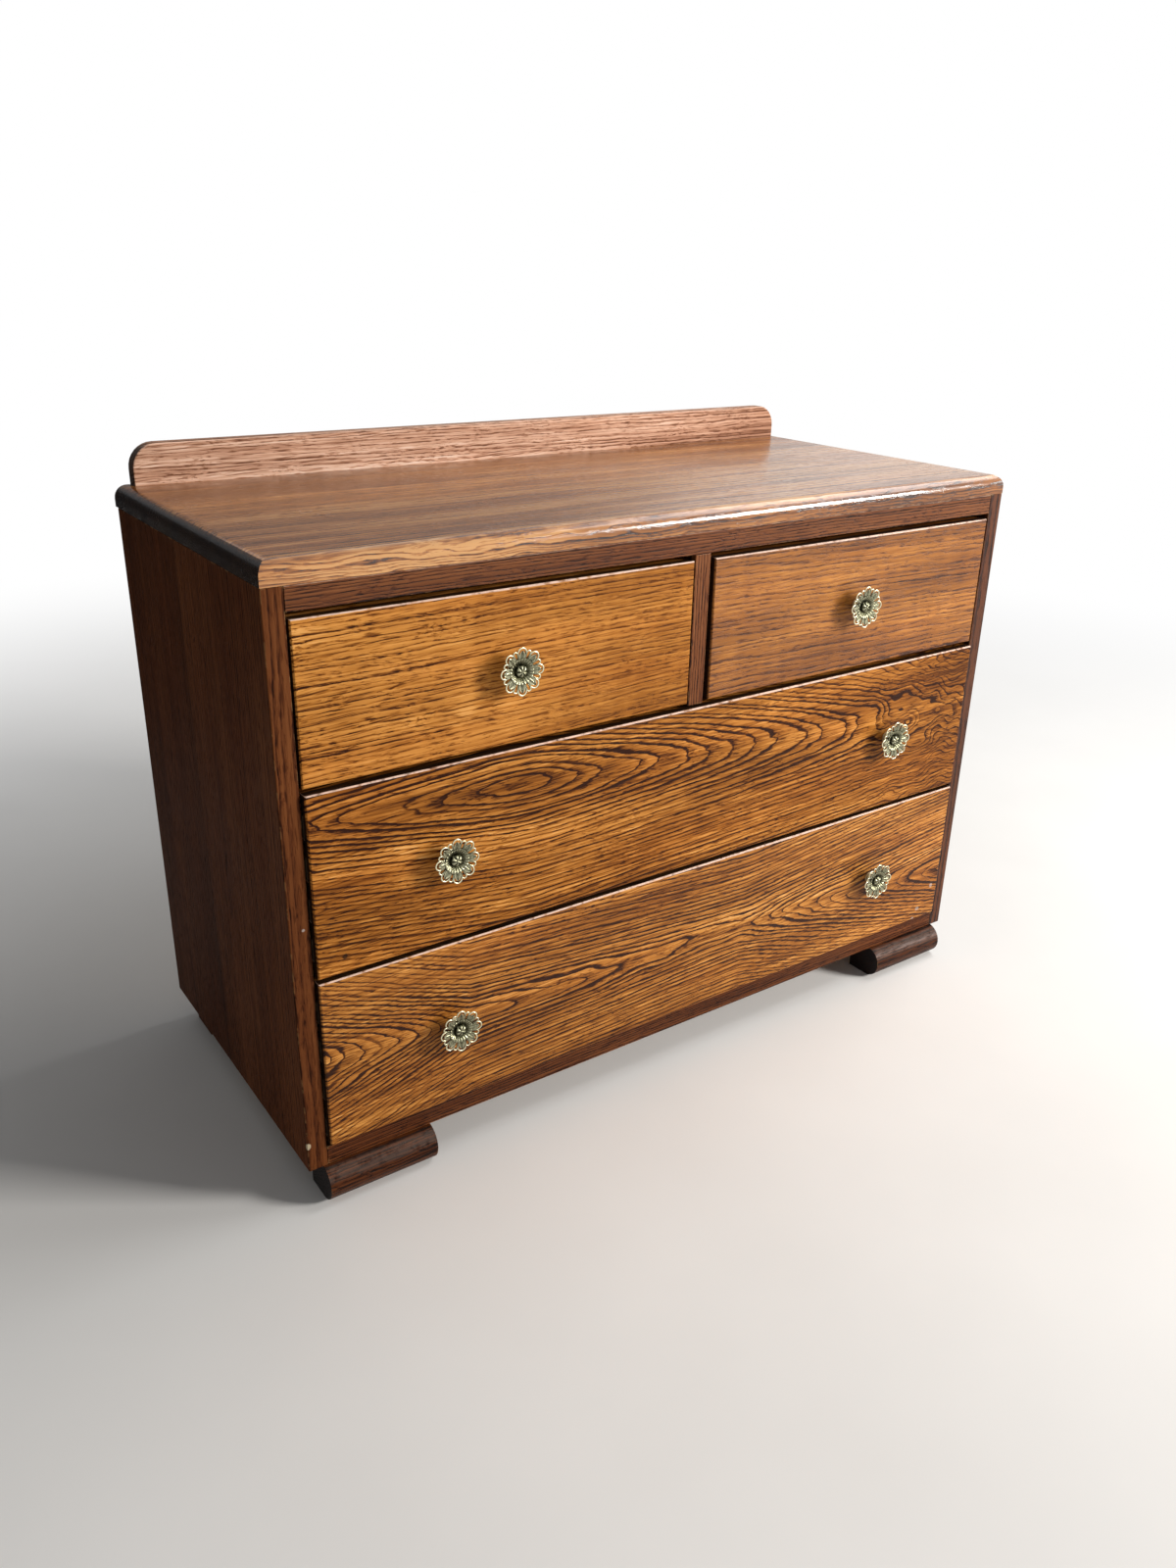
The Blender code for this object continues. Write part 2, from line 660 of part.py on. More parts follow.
def make_box(drawer, parent, groove):
    """The sides, back and bottom behind the front."""
    housing = back_cutter(drawer, parent)
    outline = lining_outline(drawer.shoulder, drawer.low, drawer.high)
    for end, inner, hand in (("left", drawer.inner_left, -1), ("right", drawer.inner_right, 1)):
        mesh = outline_mesh(f"{drawer.name}_side_{end}", [outline], LINING_THICKNESS, OUTLINE_IN_YZ)
        middle = inner + hand * LINING_THICKNESS / 2
        side = new_object(mesh.name, mesh, (middle, 0.0, 0.0), parent, LINING_WOOD)
        cut(side, groove)
        cut(side, housing)
    reach = GROOVE_DEPTH - FIT
    box(
        f"{drawer.name}_back",
        (drawer.inner_left - reach, drawer.back_front, drawer.panel_high + 2 * FIT),
        (drawer.inner_right + reach, drawer.back_rear, drawer.high - BACK_DROP),
        parent,
        LINING_WOOD,
    )
    box(
        f"{drawer.name}_bottom",
        (drawer.inner_left - reach, drawer.front_back - reach, drawer.panel_low),
        (drawer.inner_right + reach, drawer.back_rear, drawer.panel_high),
        parent,
        PLYWOOD,
    )


# Knobs

def hub_profile():
    """The turned middle of a flower: a beaded dome in a cup, a ring, a disc, and a socket at the back."""
    profile = []
    for step in range(DOME_STEPS + 1):
        angle = math.pi / 2 * step / DOME_STEPS
        profile.append((DOME_RADIUS * math.sin(angle), HUB_THICKNESS + DOME_HEIGHT * math.cos(angle)))
    ring_inner = (DOME_RADIUS + HUB_RING_RADIUS) / 2
    ring_outer = (HUB_RADIUS + HUB_RING_RADIUS) / 2
    socket = SPIGOT_RADIUS + FIT
    return profile + [
        (ring_inner, HUB_THICKNESS),
        (HUB_RING_RADIUS, HUB_THICKNESS + HUB_RING_HEIGHT),
        (ring_outer, HUB_THICKNESS),
        (HUB_RADIUS, HUB_THICKNESS),
        (HUB_RADIUS, 0.0),
        (socket, 0.0),
        (socket, SPIGOT_LENGTH + FIT),
        (0.0, SPIGOT_LENGTH + FIT),
    ]


def turned(points, turn):
    """Flat (along, across) points turned about the middle of the flower."""
    return [
        (x * math.cos(turn) - y * math.sin(turn), x * math.sin(turn) + y * math.cos(turn)) for x, y in points
    ]


def leaf_outline(turn):
    """A pointed leaf, rooted in the hub."""
    belly = HUB_RADIUS + LEAF_LENGTH / 3
    outline = [
        (WIRE_ROOT, -LEAF_ROOT_HALF_WIDTH),
        (belly, -LEAF_HALF_WIDTH),
        (HUB_RADIUS + LEAF_LENGTH, 0.0),
        (belly, LEAF_HALF_WIDTH),
        (WIRE_ROOT, LEAF_ROOT_HALF_WIDTH),
    ]
    return turned(outline, turn)


def arc_points(centre, radius, half_sweep, steps):
    angles = [half_sweep * (2 * step / steps - 1) for step in range(steps + 1)]
    return [(centre + radius * math.cos(angle), radius * math.sin(angle)) for angle in angles]


def large_loop(turn):
    """A wire loop round a leaf: two legs rooted in the hub and a round end."""
    arc = arc_points(LOOP_CENTRE, LOOP_RADIUS, LOOP_HALF_SWEEP, LOOP_ARC_STEPS)
    return turned([(WIRE_ROOT, -LOOP_ROOT_HALF_WIDTH), *arc, (WIRE_ROOT, LOOP_ROOT_HALF_WIDTH)], turn)


def small_loop(turn):
    """A smaller arch between two large loops, with its ends in their sides."""
    half_span = LOOP_CENTRE * math.sin(HALF_PETAL) - LOOP_RADIUS + SMALL_LOOP_EMBED
    radius = half_span / math.sin(SMALL_LOOP_HALF_SWEEP)
    to_ends = math.sqrt(LOOP_RADIUS**2 - (LOOP_RADIUS - SMALL_LOOP_EMBED) ** 2)
    ends = LOOP_CENTRE * math.cos(HALF_PETAL) + to_ends
    centre = ends - radius * math.cos(SMALL_LOOP_HALF_SWEEP)
    return turned(arc_points(centre, radius, SMALL_LOOP_HALF_SWEEP, SMALL_LOOP_ARC_STEPS), turn)


def wire_mesh(name, flat_points):
    """A round wire through flat points, which comes forward towards the rim."""
    curve = bpy.data.curves.new(name, "CURVE")
    curve.dimensions = "3D"
    curve.bevel_depth = WIRE_RADIUS
    curve.bevel_resolution = 0
    curve.use_fill_caps = True
    spline = curve.splines.new("POLY")
    spline.points.add(len(flat_points) - 1)
    for point, (x, y) in zip(spline.points, flat_points):
        outward = (math.hypot(x, y) - WIRE_ROOT) / (KNOB_RIM - WIRE_ROOT)
        point.co = (x, y, HUB_THICKNESS / 2 + LOOP_RISE * outward, 1.0)
    holder = bpy.data.objects.new(name, curve)
    CUTTERS.objects.link(holder)
    mesh = evaluated_mesh(holder)
    bpy.data.objects.remove(holder, do_unlink=True)
    return mesh


def flower_mesh():
    """One knob flower: hub, leaves and two sets of loops, joined into one casting that faces the front."""
    turns = [2 * HALF_PETAL * count for count in range(PETAL_COUNT)]
    lift = Matrix.Translation((0.0, 0.0, HUB_THICKNESS / 2))
    pieces = [outline_mesh("leaves", [leaf_outline(turn) for turn in turns], LEAF_THICKNESS, lift)]
    for turn in turns:
        pieces.append(wire_mesh("large_loop", large_loop(turn)))
        pieces.append(wire_mesh("small_loop", small_loop(turn + HALF_PETAL)))
    joined = bpy.data.collections.new("flower_pieces")
    bpy.context.scene.collection.children.link(joined)
    for mesh in pieces:
        joined.objects.link(bpy.data.objects.new(mesh.name, mesh))
    hub = bpy.data.objects.new("hub", turned_mesh("hub", hub_profile(), HUB_STEPS))
    CUTTERS.objects.link(hub)
    union = hub.modifiers.new("join", "BOOLEAN")
    union.operation = "UNION"
    union.solver = "EXACT"
    union.operand_type = "COLLECTION"
    union.collection = joined
    flower = evaluated_mesh(hub)
    flower.name = "knob_flower"
    for obj in list(joined.objects):
        bpy.data.objects.remove(obj, do_unlink=True)
    bpy.data.collections.remove(joined)
    bpy.data.objects.remove(hub, do_unlink=True)
    flower.transform(FACING_FRONT)
    smooth(flower)
    return flower


def stem_mesh():
    """A turned stem: spigot for the flower, collar, neck, flange on the front, and the bolt through it."""
    seat = KNOB_STANDOFF
    collar = seat - STEM_COLLAR_HEIGHT
    neck_top = collar - (STEM_COLLAR_RADIUS - STEM_NECK_RADIUS)
    flange = FIT + STEM_FLANGE_HEIGHT
    neck_bottom = flange + (STEM_FLANGE_RADIUS - STEM_NECK_RADIUS) / 2
    tail = -FRONT_THICKNESS - SHANK_TAIL
    stem = turned_mesh(
        "knob_stem",
        [
            (0.0, seat + SPIGOT_LENGTH),
            (SPIGOT_RADIUS, seat + SPIGOT_LENGTH),
            (SPIGOT_RADIUS, seat),
            (STEM_COLLAR_RADIUS, seat),
            (STEM_COLLAR_RADIUS, collar),
            (STEM_NECK_RADIUS, neck_top),
            (STEM_NECK_RADIUS, neck_bottom),
            (STEM_FLANGE_RADIUS, flange),
            (STEM_FLANGE_RADIUS, FIT),
            (SHANK_RADIUS, FIT),
            (SHANK_RADIUS, tail),
            (0.0, tail),
        ],
        STEM_STEPS,
    )
    stem.transform(FACING_FRONT)
    smooth(stem)
    return stem


def bolt_hole(name, point, parent):
    shape = bmesh.new()
    bmesh.ops.create_cone(
        shape,
        cap_ends=True,
        segments=STEM_STEPS,
        radius1=SHANK_RADIUS + 2 * FIT,
        radius2=SHANK_RADIUS + 2 * FIT,
        depth=FRONT_THICKNESS + 2 * OVERCUT,
        matrix=FACING_FRONT,
    )
    mesh = bpy.data.meshes.new(name)
    shape.to_mesh(mesh)
    shape.free()
    return new_object(name, mesh, point, parent)


def make_knobs(drawer, parent, front, flower, stem):
    for name, across in drawer.knobs:
        label = f"{drawer.name}_{name}"
        middle = (drawer.front_face + drawer.front_back) / 2
        cut(front, bolt_hole(f"bolt_hole_{label}", (across, middle, drawer.knob_height), parent))
        new_object(f"knob_stem_{label}", stem, (across, drawer.front_face, drawer.knob_height), parent, BRASS)
        seat = drawer.front_face - KNOB_STANDOFF - FIT
        new_object(f"knob_flower_{label}", flower, (across, seat, drawer.knob_height), parent, BRASS)


def make_drawers(root):
    flower = flower_mesh()
    stem = stem_mesh()
    for drawer in all_drawers():
        middle = ((drawer.left + drawer.right) / 2, drawer.front_back, drawer.low)
        slide = new_empty(f"drawer_{drawer.name}", middle, root)
        groove = panel_cutter(drawer, slide)
        front = make_front(drawer, slide, groove)
        make_box(drawer, slide, groove)
        make_knobs(drawer, slide, front, flower, stem)


def main():
    root = new_empty("dresser", (0.0, -MIDDLE_DEPTH, 0.0))
    make_sides(root)
    make_back(root)
    make_top(root)
    make_upstand(root)
    make_rails(root)
    make_runners(root)
    make_divider(root)
    make_feet(root)
    make_drawers(root)
    bpy.context.view_layer.update()


main()
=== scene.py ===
"""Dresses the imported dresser: stained oak with its growth rings and pores, pine and plywood linings,
the brass flower knobs, the small fasteners, a pale floor, soft light and the camera.

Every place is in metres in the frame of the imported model: x across the width, y from front to back, z up.
"""

import math
from dataclasses import dataclass

import bmesh
import bpy
from mathutils import Euler, Matrix, Vector


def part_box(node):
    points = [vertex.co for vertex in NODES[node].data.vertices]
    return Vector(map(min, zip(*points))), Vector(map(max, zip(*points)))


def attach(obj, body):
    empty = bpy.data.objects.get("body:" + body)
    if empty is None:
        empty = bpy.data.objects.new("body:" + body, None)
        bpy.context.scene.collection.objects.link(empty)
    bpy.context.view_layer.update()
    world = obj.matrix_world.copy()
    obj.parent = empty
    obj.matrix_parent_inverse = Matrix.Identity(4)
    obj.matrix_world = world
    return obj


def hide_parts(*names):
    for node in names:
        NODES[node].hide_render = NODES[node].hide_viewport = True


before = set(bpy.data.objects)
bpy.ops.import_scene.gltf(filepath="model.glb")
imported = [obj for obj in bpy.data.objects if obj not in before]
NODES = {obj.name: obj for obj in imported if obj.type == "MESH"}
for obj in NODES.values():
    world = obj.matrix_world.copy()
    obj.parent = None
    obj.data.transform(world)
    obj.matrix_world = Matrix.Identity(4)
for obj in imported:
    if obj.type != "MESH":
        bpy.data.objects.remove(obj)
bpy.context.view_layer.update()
DRAWERS = ("small_left", "small_right", "long_upper", "long_lower")
KNOBS = (
    ("small_left", "middle"),
    ("small_right", "middle"),
    ("long_upper", "left"),
    ("long_upper", "right"),
    ("long_lower", "left"),
    ("long_lower", "right"),
)
AXES = "xyz"


# Node graphs


class Field:
    """A number that varies over a surface. Arithmetic on fields adds Math nodes to their graph."""

    def __init__(self, graph, socket):
        self.graph = graph
        self.socket = socket

    def __add__(self, other):
        return self.graph.math("ADD", self, other)

    def __radd__(self, other):
        return self.graph.math("ADD", other, self)

    def __sub__(self, other):
        return self.graph.math("SUBTRACT", self, other)

    def __rsub__(self, other):
        return self.graph.math("SUBTRACT", other, self)

    def __mul__(self, other):
        return self.graph.math("MULTIPLY", self, other)

    def __truediv__(self, other):
        return self.graph.math("DIVIDE", self, other)

    def __abs__(self):
        return self.graph.math("ABSOLUTE", self)

    def squared(self):
        return self * self

    def root(self):
        return self.graph.math("SQRT", self)

    def fraction(self):
        return self.graph.math("FRACT", self)

    def floor(self):
        return self.graph.math("FLOOR", self)

    def least(self, other):
        return self.graph.math("MINIMUM", self, other)

    def most(self, other):
        return self.graph.math("MAXIMUM", self, other)

    def hump(self):
        """1 where the field is 0, falling away on both sides."""
        return self.graph.math("EXPONENT", self.squared() * -1.0)

    def rise(self, low, high):
        """Goes smoothly from 0 at low to 1 at high."""
        node = self.graph.node("MapRange", interpolation_type="SMOOTHSTEP")
        self.graph.feed(node.inputs["Value"], self)
        node.inputs["From Min"].default_value = low
        node.inputs["From Max"].default_value = high
        return Field(self.graph, node.outputs["Result"])


class Graph:
    """One material and short ways to add nodes to it."""

    def __init__(self, name):
        self.material = bpy.data.materials.new(name)
        self.material.use_nodes = True
        self.tree = self.material.node_tree
        self.shader = self.tree.nodes["Principled BSDF"]

    def node(self, kind, **settings):
        node = self.tree.nodes.new(f"ShaderNode{kind}")
        for name, value in settings.items():
            setattr(node, name, value)
        return node

    def feed(self, socket, value):
        if isinstance(value, Field):
            value = value.socket
        if isinstance(value, bpy.types.NodeSocket):
            self.tree.links.new(value, socket)
        else:
            socket.default_value = value

    def math(self, operation, *values):
        node = self.node("Math", operation=operation)
        for socket, value in zip(node.inputs, values):
            self.feed(socket, value)
        return Field(self, node.outputs[0])

    def place(self):
        """The x, y and z of a point of the surface, at rest."""
        split = self.node("SeparateXYZ")
        self.feed(split.inputs[0], self.node("TexCoord").outputs["Object"])
        return [Field(self, output) for output in split.outputs]

    def noise(self, x, y, z, detail=2.0, roughness=0.5):
        """Noise about 0, mostly between -0.3 and 0.3, with cells of size 1."""
        join = self.node("CombineXYZ")
        for socket, value in zip(join.inputs, (x, y, z)):
            self.feed(socket, value)
        noise = self.node("TexNoise", noise_dimensions="3D")
        self.feed(noise.inputs["Vector"], join.outputs[0])
        noise.inputs["Scale"].default_value = 1.0
        noise.inputs["Detail"].default_value = detail
        noise.inputs["Roughness"].default_value = roughness
        return Field(self, noise.outputs["Fac"]) - 0.5

    def ramp(self, value, stops):
        """A colour that follows the value through (place, colour) stops."""
        node = self.node("ValToRGB")
        elements = node.color_ramp.elements
        while len(elements) < len(stops):
            elements.new(1.0)
        for element, (place, colour) in zip(elements, stops):
            element.position = place
            element.color = (*colour, 1.0)
        self.feed(node.inputs["Fac"], value)
        return node.outputs["Color"]

    def blend(self, share, first, second, mode="MIX"):
        node = self.node("Mix", data_type="RGBA", blend_type=mode)
        self.feed(node.inputs["Factor"], share)
        for socket, value in ((node.inputs["A"], first), (node.inputs["B"], second)):
            self.feed(socket, (*value, 1.0) if isinstance(value, tuple) else value)
        return node.outputs["Result"]

    def bump(self, height, distance, strength=1.0):
        node = self.node("Bump")
        node.inputs["Strength"].default_value = strength
        node.inputs["Distance"].default_value = distance
        self.feed(node.inputs["Height"], height)
        self.feed(self.shader.inputs["Normal"], node.outputs["Normal"])

    def set(self, **values):
        """Feeds sockets of the shader, named with _ for a space."""
        for name, value in values.items():
            self.feed(self.shader.inputs[name.replace("_", " ")], value)


# Wood


@dataclass
class Grain:
    """How the growth rings of one board run. Places are (along, across) in metres.

    A board with a heart shows rings nested round it. Without one the rings run straight along the board.
    """

    pitch: float  # metres across the board from ring to ring
    heart: tuple = None  # the middle of the nested rings
    run: tuple = (0.04, 0.04)  # metres along the board from ring to ring, before and after the heart
    tail: tuple = None  # distance before the heart from which more rings come, and metres between those
    sense: float = 1.0  # -1 where the rings close towards the heart from both sides
    bow: tuple = (0.8, 0.0)  # how round the tips of the rings are at the heart, and more per metre after it
    crown: float = 0.4  # how round the innermost ring is
    lean: tuple = (0.0, 0.0)  # slope of the rings' middle line, before and after the heart
    turn: float = 0.5  # how fast the rings follow each other into the board
    sway: float = 3.0  # slow wander of the rings
    ripple: float = 0.8  # their shorter wander
    crowd: float = 0.0  # how unevenly they lie across the board
    jag: float = 0.5  # how ragged they are
    spread: float = 1.3  # how unevenly they follow each other
    line: float = 0.24  # share of a ring that its dark line takes up
    bumps: tuple = ()  # each (middle, reach along, reach across, rings more)
    flames: tuple = ()  # each (middle across, half width, licks per metre, rings more)
    burl: tuple = None  # where it begins and is full along the board, and rings more
    seed: float = 0.0  # picks another part of the patterns


@dataclass
class Look:
    """Colour and varnish of one board. The shade runs from 0 to 1 through the stops, and marks lower it."""

    stops: tuple
    level: float = 0.66  # the shade without marks
    tone: float = 0.40  # broad clouds
    streak: float = 0.45  # long streaks
    figure: float = 0.10  # figure across the grain
    line: float = 0.30  # the dark line of each ring
    fade: float = 0.16  # the darker wood that follows it
    pores: float = 0.20
    fibre: float = 0.20
    dash: float = 2.4  # how broken the dark lines are
    bold: tuple = None  # stronger marks, fading from one place along the board to another, and how much
    roughness: float = 0.42
    specular: float = 0.08
    bands: float = 110.0  # streaks per metre across the board
    drift: tuple = None  # a change of the shade from one place along the board to another, and how much
    relief: float = 0.7  # strength of the pores' relief
    nose_wear_and_shade: tuple = None  # two places along the board, and the shade added to its nosing at each: a lighter amount for worn stain, a darker one as painted shade
    painted_highlight: float = 0.0  # painted highlight on the upper arrises
    gap_dirt_and_shade: float = 0.0  # grime and painted shade on the edges behind the face, which darken the gaps
    ends: float = 0.0  # dark stain on the end grain, with painted shade that makes an end facing left darker


@dataclass
class Join:
    """Where a second board is glued on, and how it differs from the first."""

    place: float
    grain: Grain
    level: float = 0.0


GOLD_OAK = (
    (0.00, (0.026, 0.006, 0.001)),
    (0.30, (0.120, 0.034, 0.004)),
    (0.60, (0.340, 0.121, 0.017)),
    (0.85, (0.610, 0.262, 0.054)),
    (1.00, (0.800, 0.415, 0.130)),
)
BROWN_OAK = (
    (0.00, (0.026, 0.007, 0.002)),
    (0.30, (0.110, 0.034, 0.007)),
    (0.60, (0.290, 0.105, 0.024)),
    (0.85, (0.480, 0.205, 0.058)),
    (1.00, (0.640, 0.330, 0.120)),
)
# A paler oak for the upstand; part of its paleness is painted sheen.
TAN_OAK = (
    (0.00, (0.150, 0.060, 0.031)),
    (0.30, (0.330, 0.161, 0.094)),
    (0.60, (0.580, 0.333, 0.222)),
    (0.85, (0.760, 0.506, 0.372)),
    (1.00, (0.860, 0.680, 0.564)),
)
RED_OAK = (
    (0.00, (0.008, 0.0020, 0.0006)),
    (0.30, (0.036, 0.009, 0.0025)),
    (0.60, (0.105, 0.030, 0.008)),
    (0.85, (0.200, 0.068, 0.020)),
    (1.00, (0.320, 0.130, 0.050)),
)
BARE_WOOD = (0.52, 0.30, 0.13)
# Painted highlight: the pale colour laid on upper arrises that face the light from above.
HIGHLIGHT_PAINT = (0.86, 0.62, 0.50)
BLUSH = (1.0, 0.84, 0.72)
# Grime, and also painted shade where it darkens the gaps and the inner ends.
DIRT_AND_SHADE = (0.008, 0.004, 0.0025)
# Stain on the end grain, also used as painted shade on ends that face left.
END_STAIN_AND_SHADE = (0.012, 0.010, 0.010)
CHIP = (0.78, 0.66, 0.44)
SCUFF = (0.80, 0.76, 0.72)
FINE_LINE = 0.50  # share of a ring that the dark line takes up away from the heart
FINE_LINE_SPAN = (0.001, 0.016)  # distances from the heart line between which the lines reach that share
OUTER_FADE = 0.52  # how much weaker the lines are on the outer part of a board
OUTER_FADE_SPAN = (0.028, 0.060)
RIGHT_END = 0.5  # share of the stain and painted shade on an end that faces right; an end that faces left gets it all
SEAM = (0.0002, 0.0008)  # half widths of the dark seam between two glued boards
SEAM_SHARE = 0.7
WORN_EDGE = (0.0002, 0.0014)  # distances from an edge between which the worn band ends
WORN_SHARE = 0.30
GAP_SHADE_DEPTH = (0.008, 0.013)  # distances behind the face between which the grime and painted shade end
BLUSH_SHARE = 0.45
PORE_SPAN = (0.02, 0.20)
PORE_DEPTH = 0.00022
LINE_START = (0.0, 0.08)  # shares of a ring between which its dark line sets in
LINE_END = (0.45, 1.0)  # shares of the line between which it ends
FADE_END = (0.15, 0.85)  # shares of a ring between which the darker wood ends

# Patterns in the wood: cells per metre along the grain, across it and into the board
SWAY = (2.4, 15.0, 15.0)
RIPPLE = (13.0, 60.0, 60.0)
JAG = (48.0, 240.0, 240.0)
CROWD = (1.4, 95.0, 95.0)
KNOTS = (19.0, 27.0, 27.0)
FLAMES_ACROSS = 35.0
WAVER = (9.0, 45.0, 45.0)
PORES = (58.0, 540.0, 540.0)
TONE = (2.7, 21.0, 9.0)
STREAKS_ALONG = 2.0
FIGURE = (42.0, 9.0, 9.0)
FIBRE = (22.0, 430.0, 430.0)
BLUSHES = (3.3, 19.0, 19.0)
RUBS = 130.0
SMUDGES = 9.0


class Board:
    """A board's graph, with the places along its grain, across it and inward from its face."""

    def __init__(self, name, node, axes, face):
        self.graph = Graph(name)
        self.low, self.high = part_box(node)
        self.place = self.graph.place()
        self.axes = [AXES.index(axis) for axis in axes]
        self.along, self.across, deep = (self.place[axis] for axis in self.axes)
        into = self.axes[2]
        self.inward = deep - self.low[into] if face == "low" else self.high[into] - deep
        split = self.graph.node("SeparateXYZ")
        self.graph.feed(split.inputs[0], self.graph.node("NewGeometry").outputs["Normal"])
        self.facing = [Field(self.graph, output) for output in split.outputs]

    def pattern(self, cells, shift, detail=2.0, roughness=0.5):
        """Noise with so many cells per metre along, across and inward."""
        along = self.along * cells[0] + shift
        return self.graph.noise(along, self.across * cells[1], self.inward * cells[2], detail, roughness)

    def speckle(self, cells):
        """Noise that is alike in all directions."""
        x, y, z = self.place
        return self.graph.noise(x * cells, y * cells, z * cells, 3.0)

    def edge_distance(self):
        """How far a point of the surface is from the nearest edge of the board."""
        gaps = []
        for spot, near, far in zip(self.place, self.low, self.high):
            gaps.append((far - near) / 2 - abs(spot - (near + far) / 2))
        first, second, third = gaps
        return first.least(second).most(first.most(second).least(third))


def ring_field(board, grain):
    """The count of growth rings, each with a dark line at its start, and the lines' width and weight."""
    along, across, inward = board.along, board.across, board.inward
    shift = grain.seed
    share = grain.line
    weight = 1.0
    rings = inward * (grain.turn / grain.pitch)
    if grain.heart:
        run = along - grain.heart[0]
        after = run.most(0.0)
        before = (run * -1.0).most(0.0)
        span = abs(across - grain.heart[1] - before * grain.lean[0] - after * grain.lean[1])
        steps = before * (1.0 / grain.run[0]) + after * (1.0 / grain.run[1])
        if grain.tail:
            steps = steps + (before - grain.tail[0]).most(0.0) * (1.0 / grain.tail[1])
        length = (steps.squared() + grain.crown**2).root()
        bow = after * grain.bow[1] + grain.bow[0]
        opening = ((span * (1.0 / grain.pitch)).squared() + bow.squared()).root() - bow
        rings = rings + length * grain.sense + opening
        share = span.rise(*FINE_LINE_SPAN) * (FINE_LINE - grain.line) + grain.line
        weight = 1.0 - span.rise(*OUTER_FADE_SPAN) * OUTER_FADE
    else:
        rings = rings + (across - along * grain.lean[0]) * (1.0 / grain.pitch)
    for middle, reach_along, reach_across, amount in grain.bumps:
        far = ((along - middle[0]) * (1.0 / reach_along)).squared()
        wide = ((across - middle[1]) * (1.0 / reach_across)).squared()
        rings = rings + (far + wide).root().hump() * amount
    for middle, half_width, per_metre, amount in grain.flames:
        near = ((across - middle) * (1.0 / half_width)).hump()
        lick = board.pattern((per_metre, FLAMES_ACROSS, FLAMES_ACROSS), shift, 1.0)
        rings = rings + near * lick * amount
    if grain.burl:
        burl_from, burl_to, amount = grain.burl
        knotty = along.rise(burl_from, burl_to)
        rings = rings + board.pattern(KNOTS, shift, 1.0) * knotty * amount
        share = share * (1.0 - knotty * 0.4)
    if grain.crowd:
        rings = rings + board.pattern(CROWD, -shift, 1.0) * grain.crowd
    sway = board.pattern(SWAY, shift)
    ripple = board.pattern(RIPPLE, shift)
    jag = board.pattern(JAG, shift)
    rings = rings + sway * grain.sway + ripple * grain.ripple + jag * grain.jag
    return rings + board.graph.noise(rings * 0.55 + shift, 0.0, 0.0, 1.0) * grain.spread, share, weight


def ring_marks(board, grain, look, rings, share, weight):
    """The dark line of each ring, the darker wood that follows it, and the pores."""
    graph = board.graph
    along, across, inward = board.along, board.across, board.inward
    shift = grain.seed
    ring = rings.floor()
    turn = rings - ring
    uneven = graph.noise(ring * 5.3 + shift, along * 1.5, 0.0, 0.0) * 1.6 + 0.95
    broken = graph.noise(along * 95.0 + shift, ring * 7.7, across * 60.0, 1.0) * look.dash + 0.9
    start = turn.rise(*LINE_START) * (uneven.most(0.2) * weight)
    fade = start * (1.0 - turn.rise(*FADE_END))
    waver = board.pattern(WAVER, shift)
    dashes = graph.noise(
        along * PORES[0] + waver * 12.0,
        across * PORES[1] + waver * 9.0,
        inward * PORES[2],
        3.0,
        0.6,
    )
    pores = (dashes + fade * 0.10).rise(*PORE_SPAN)
    line = start * (1.0 - (turn / share).rise(*LINE_END)) * broken.most(0.1) * (pores * 0.6 + 0.75)
    return line, fade, pores


def board_shade(board, grain, look, level, marks):
    """The shade of the wood: its level, clouds, streaks, figure and fibres, less the marks."""
    along = board.along
    shift = grain.seed
    tone = board.pattern(TONE, -shift)
    streak = board.pattern((STREAKS_ALONG, look.bands, look.bands), shift, 4.0, 0.72)
    figure = board.pattern(FIGURE, shift)
    fibre = board.pattern(FIBRE, -shift, 2.0, 0.6)
    if look.bold:
        bold_from, bold_to, extra = look.bold
        marks = marks * (1.0 + extra - along.rise(bold_from, bold_to) * extra)
    shade = level + tone * look.tone + streak * look.streak + figure * look.figure
    shade = shade + fibre * look.fibre - marks
    if look.drift:
        drift_from, drift_to, amount = look.drift
        shade = shade + along.rise(drift_from, drift_to) * amount
    # Painted shade on the nosing, darker towards one end; the lighter end stands for worn stain.
    if look.nose_wear_and_shade:
        rub_from, rub_to, first, last = look.nose_wear_and_shade
        amount = along.rise(rub_from, rub_to) * (last - first) + first
        flat = abs(board.facing[board.axes[2]]).rise(0.60, 0.99)
        shade = shade + (1.0 - flat) * amount
    return shade


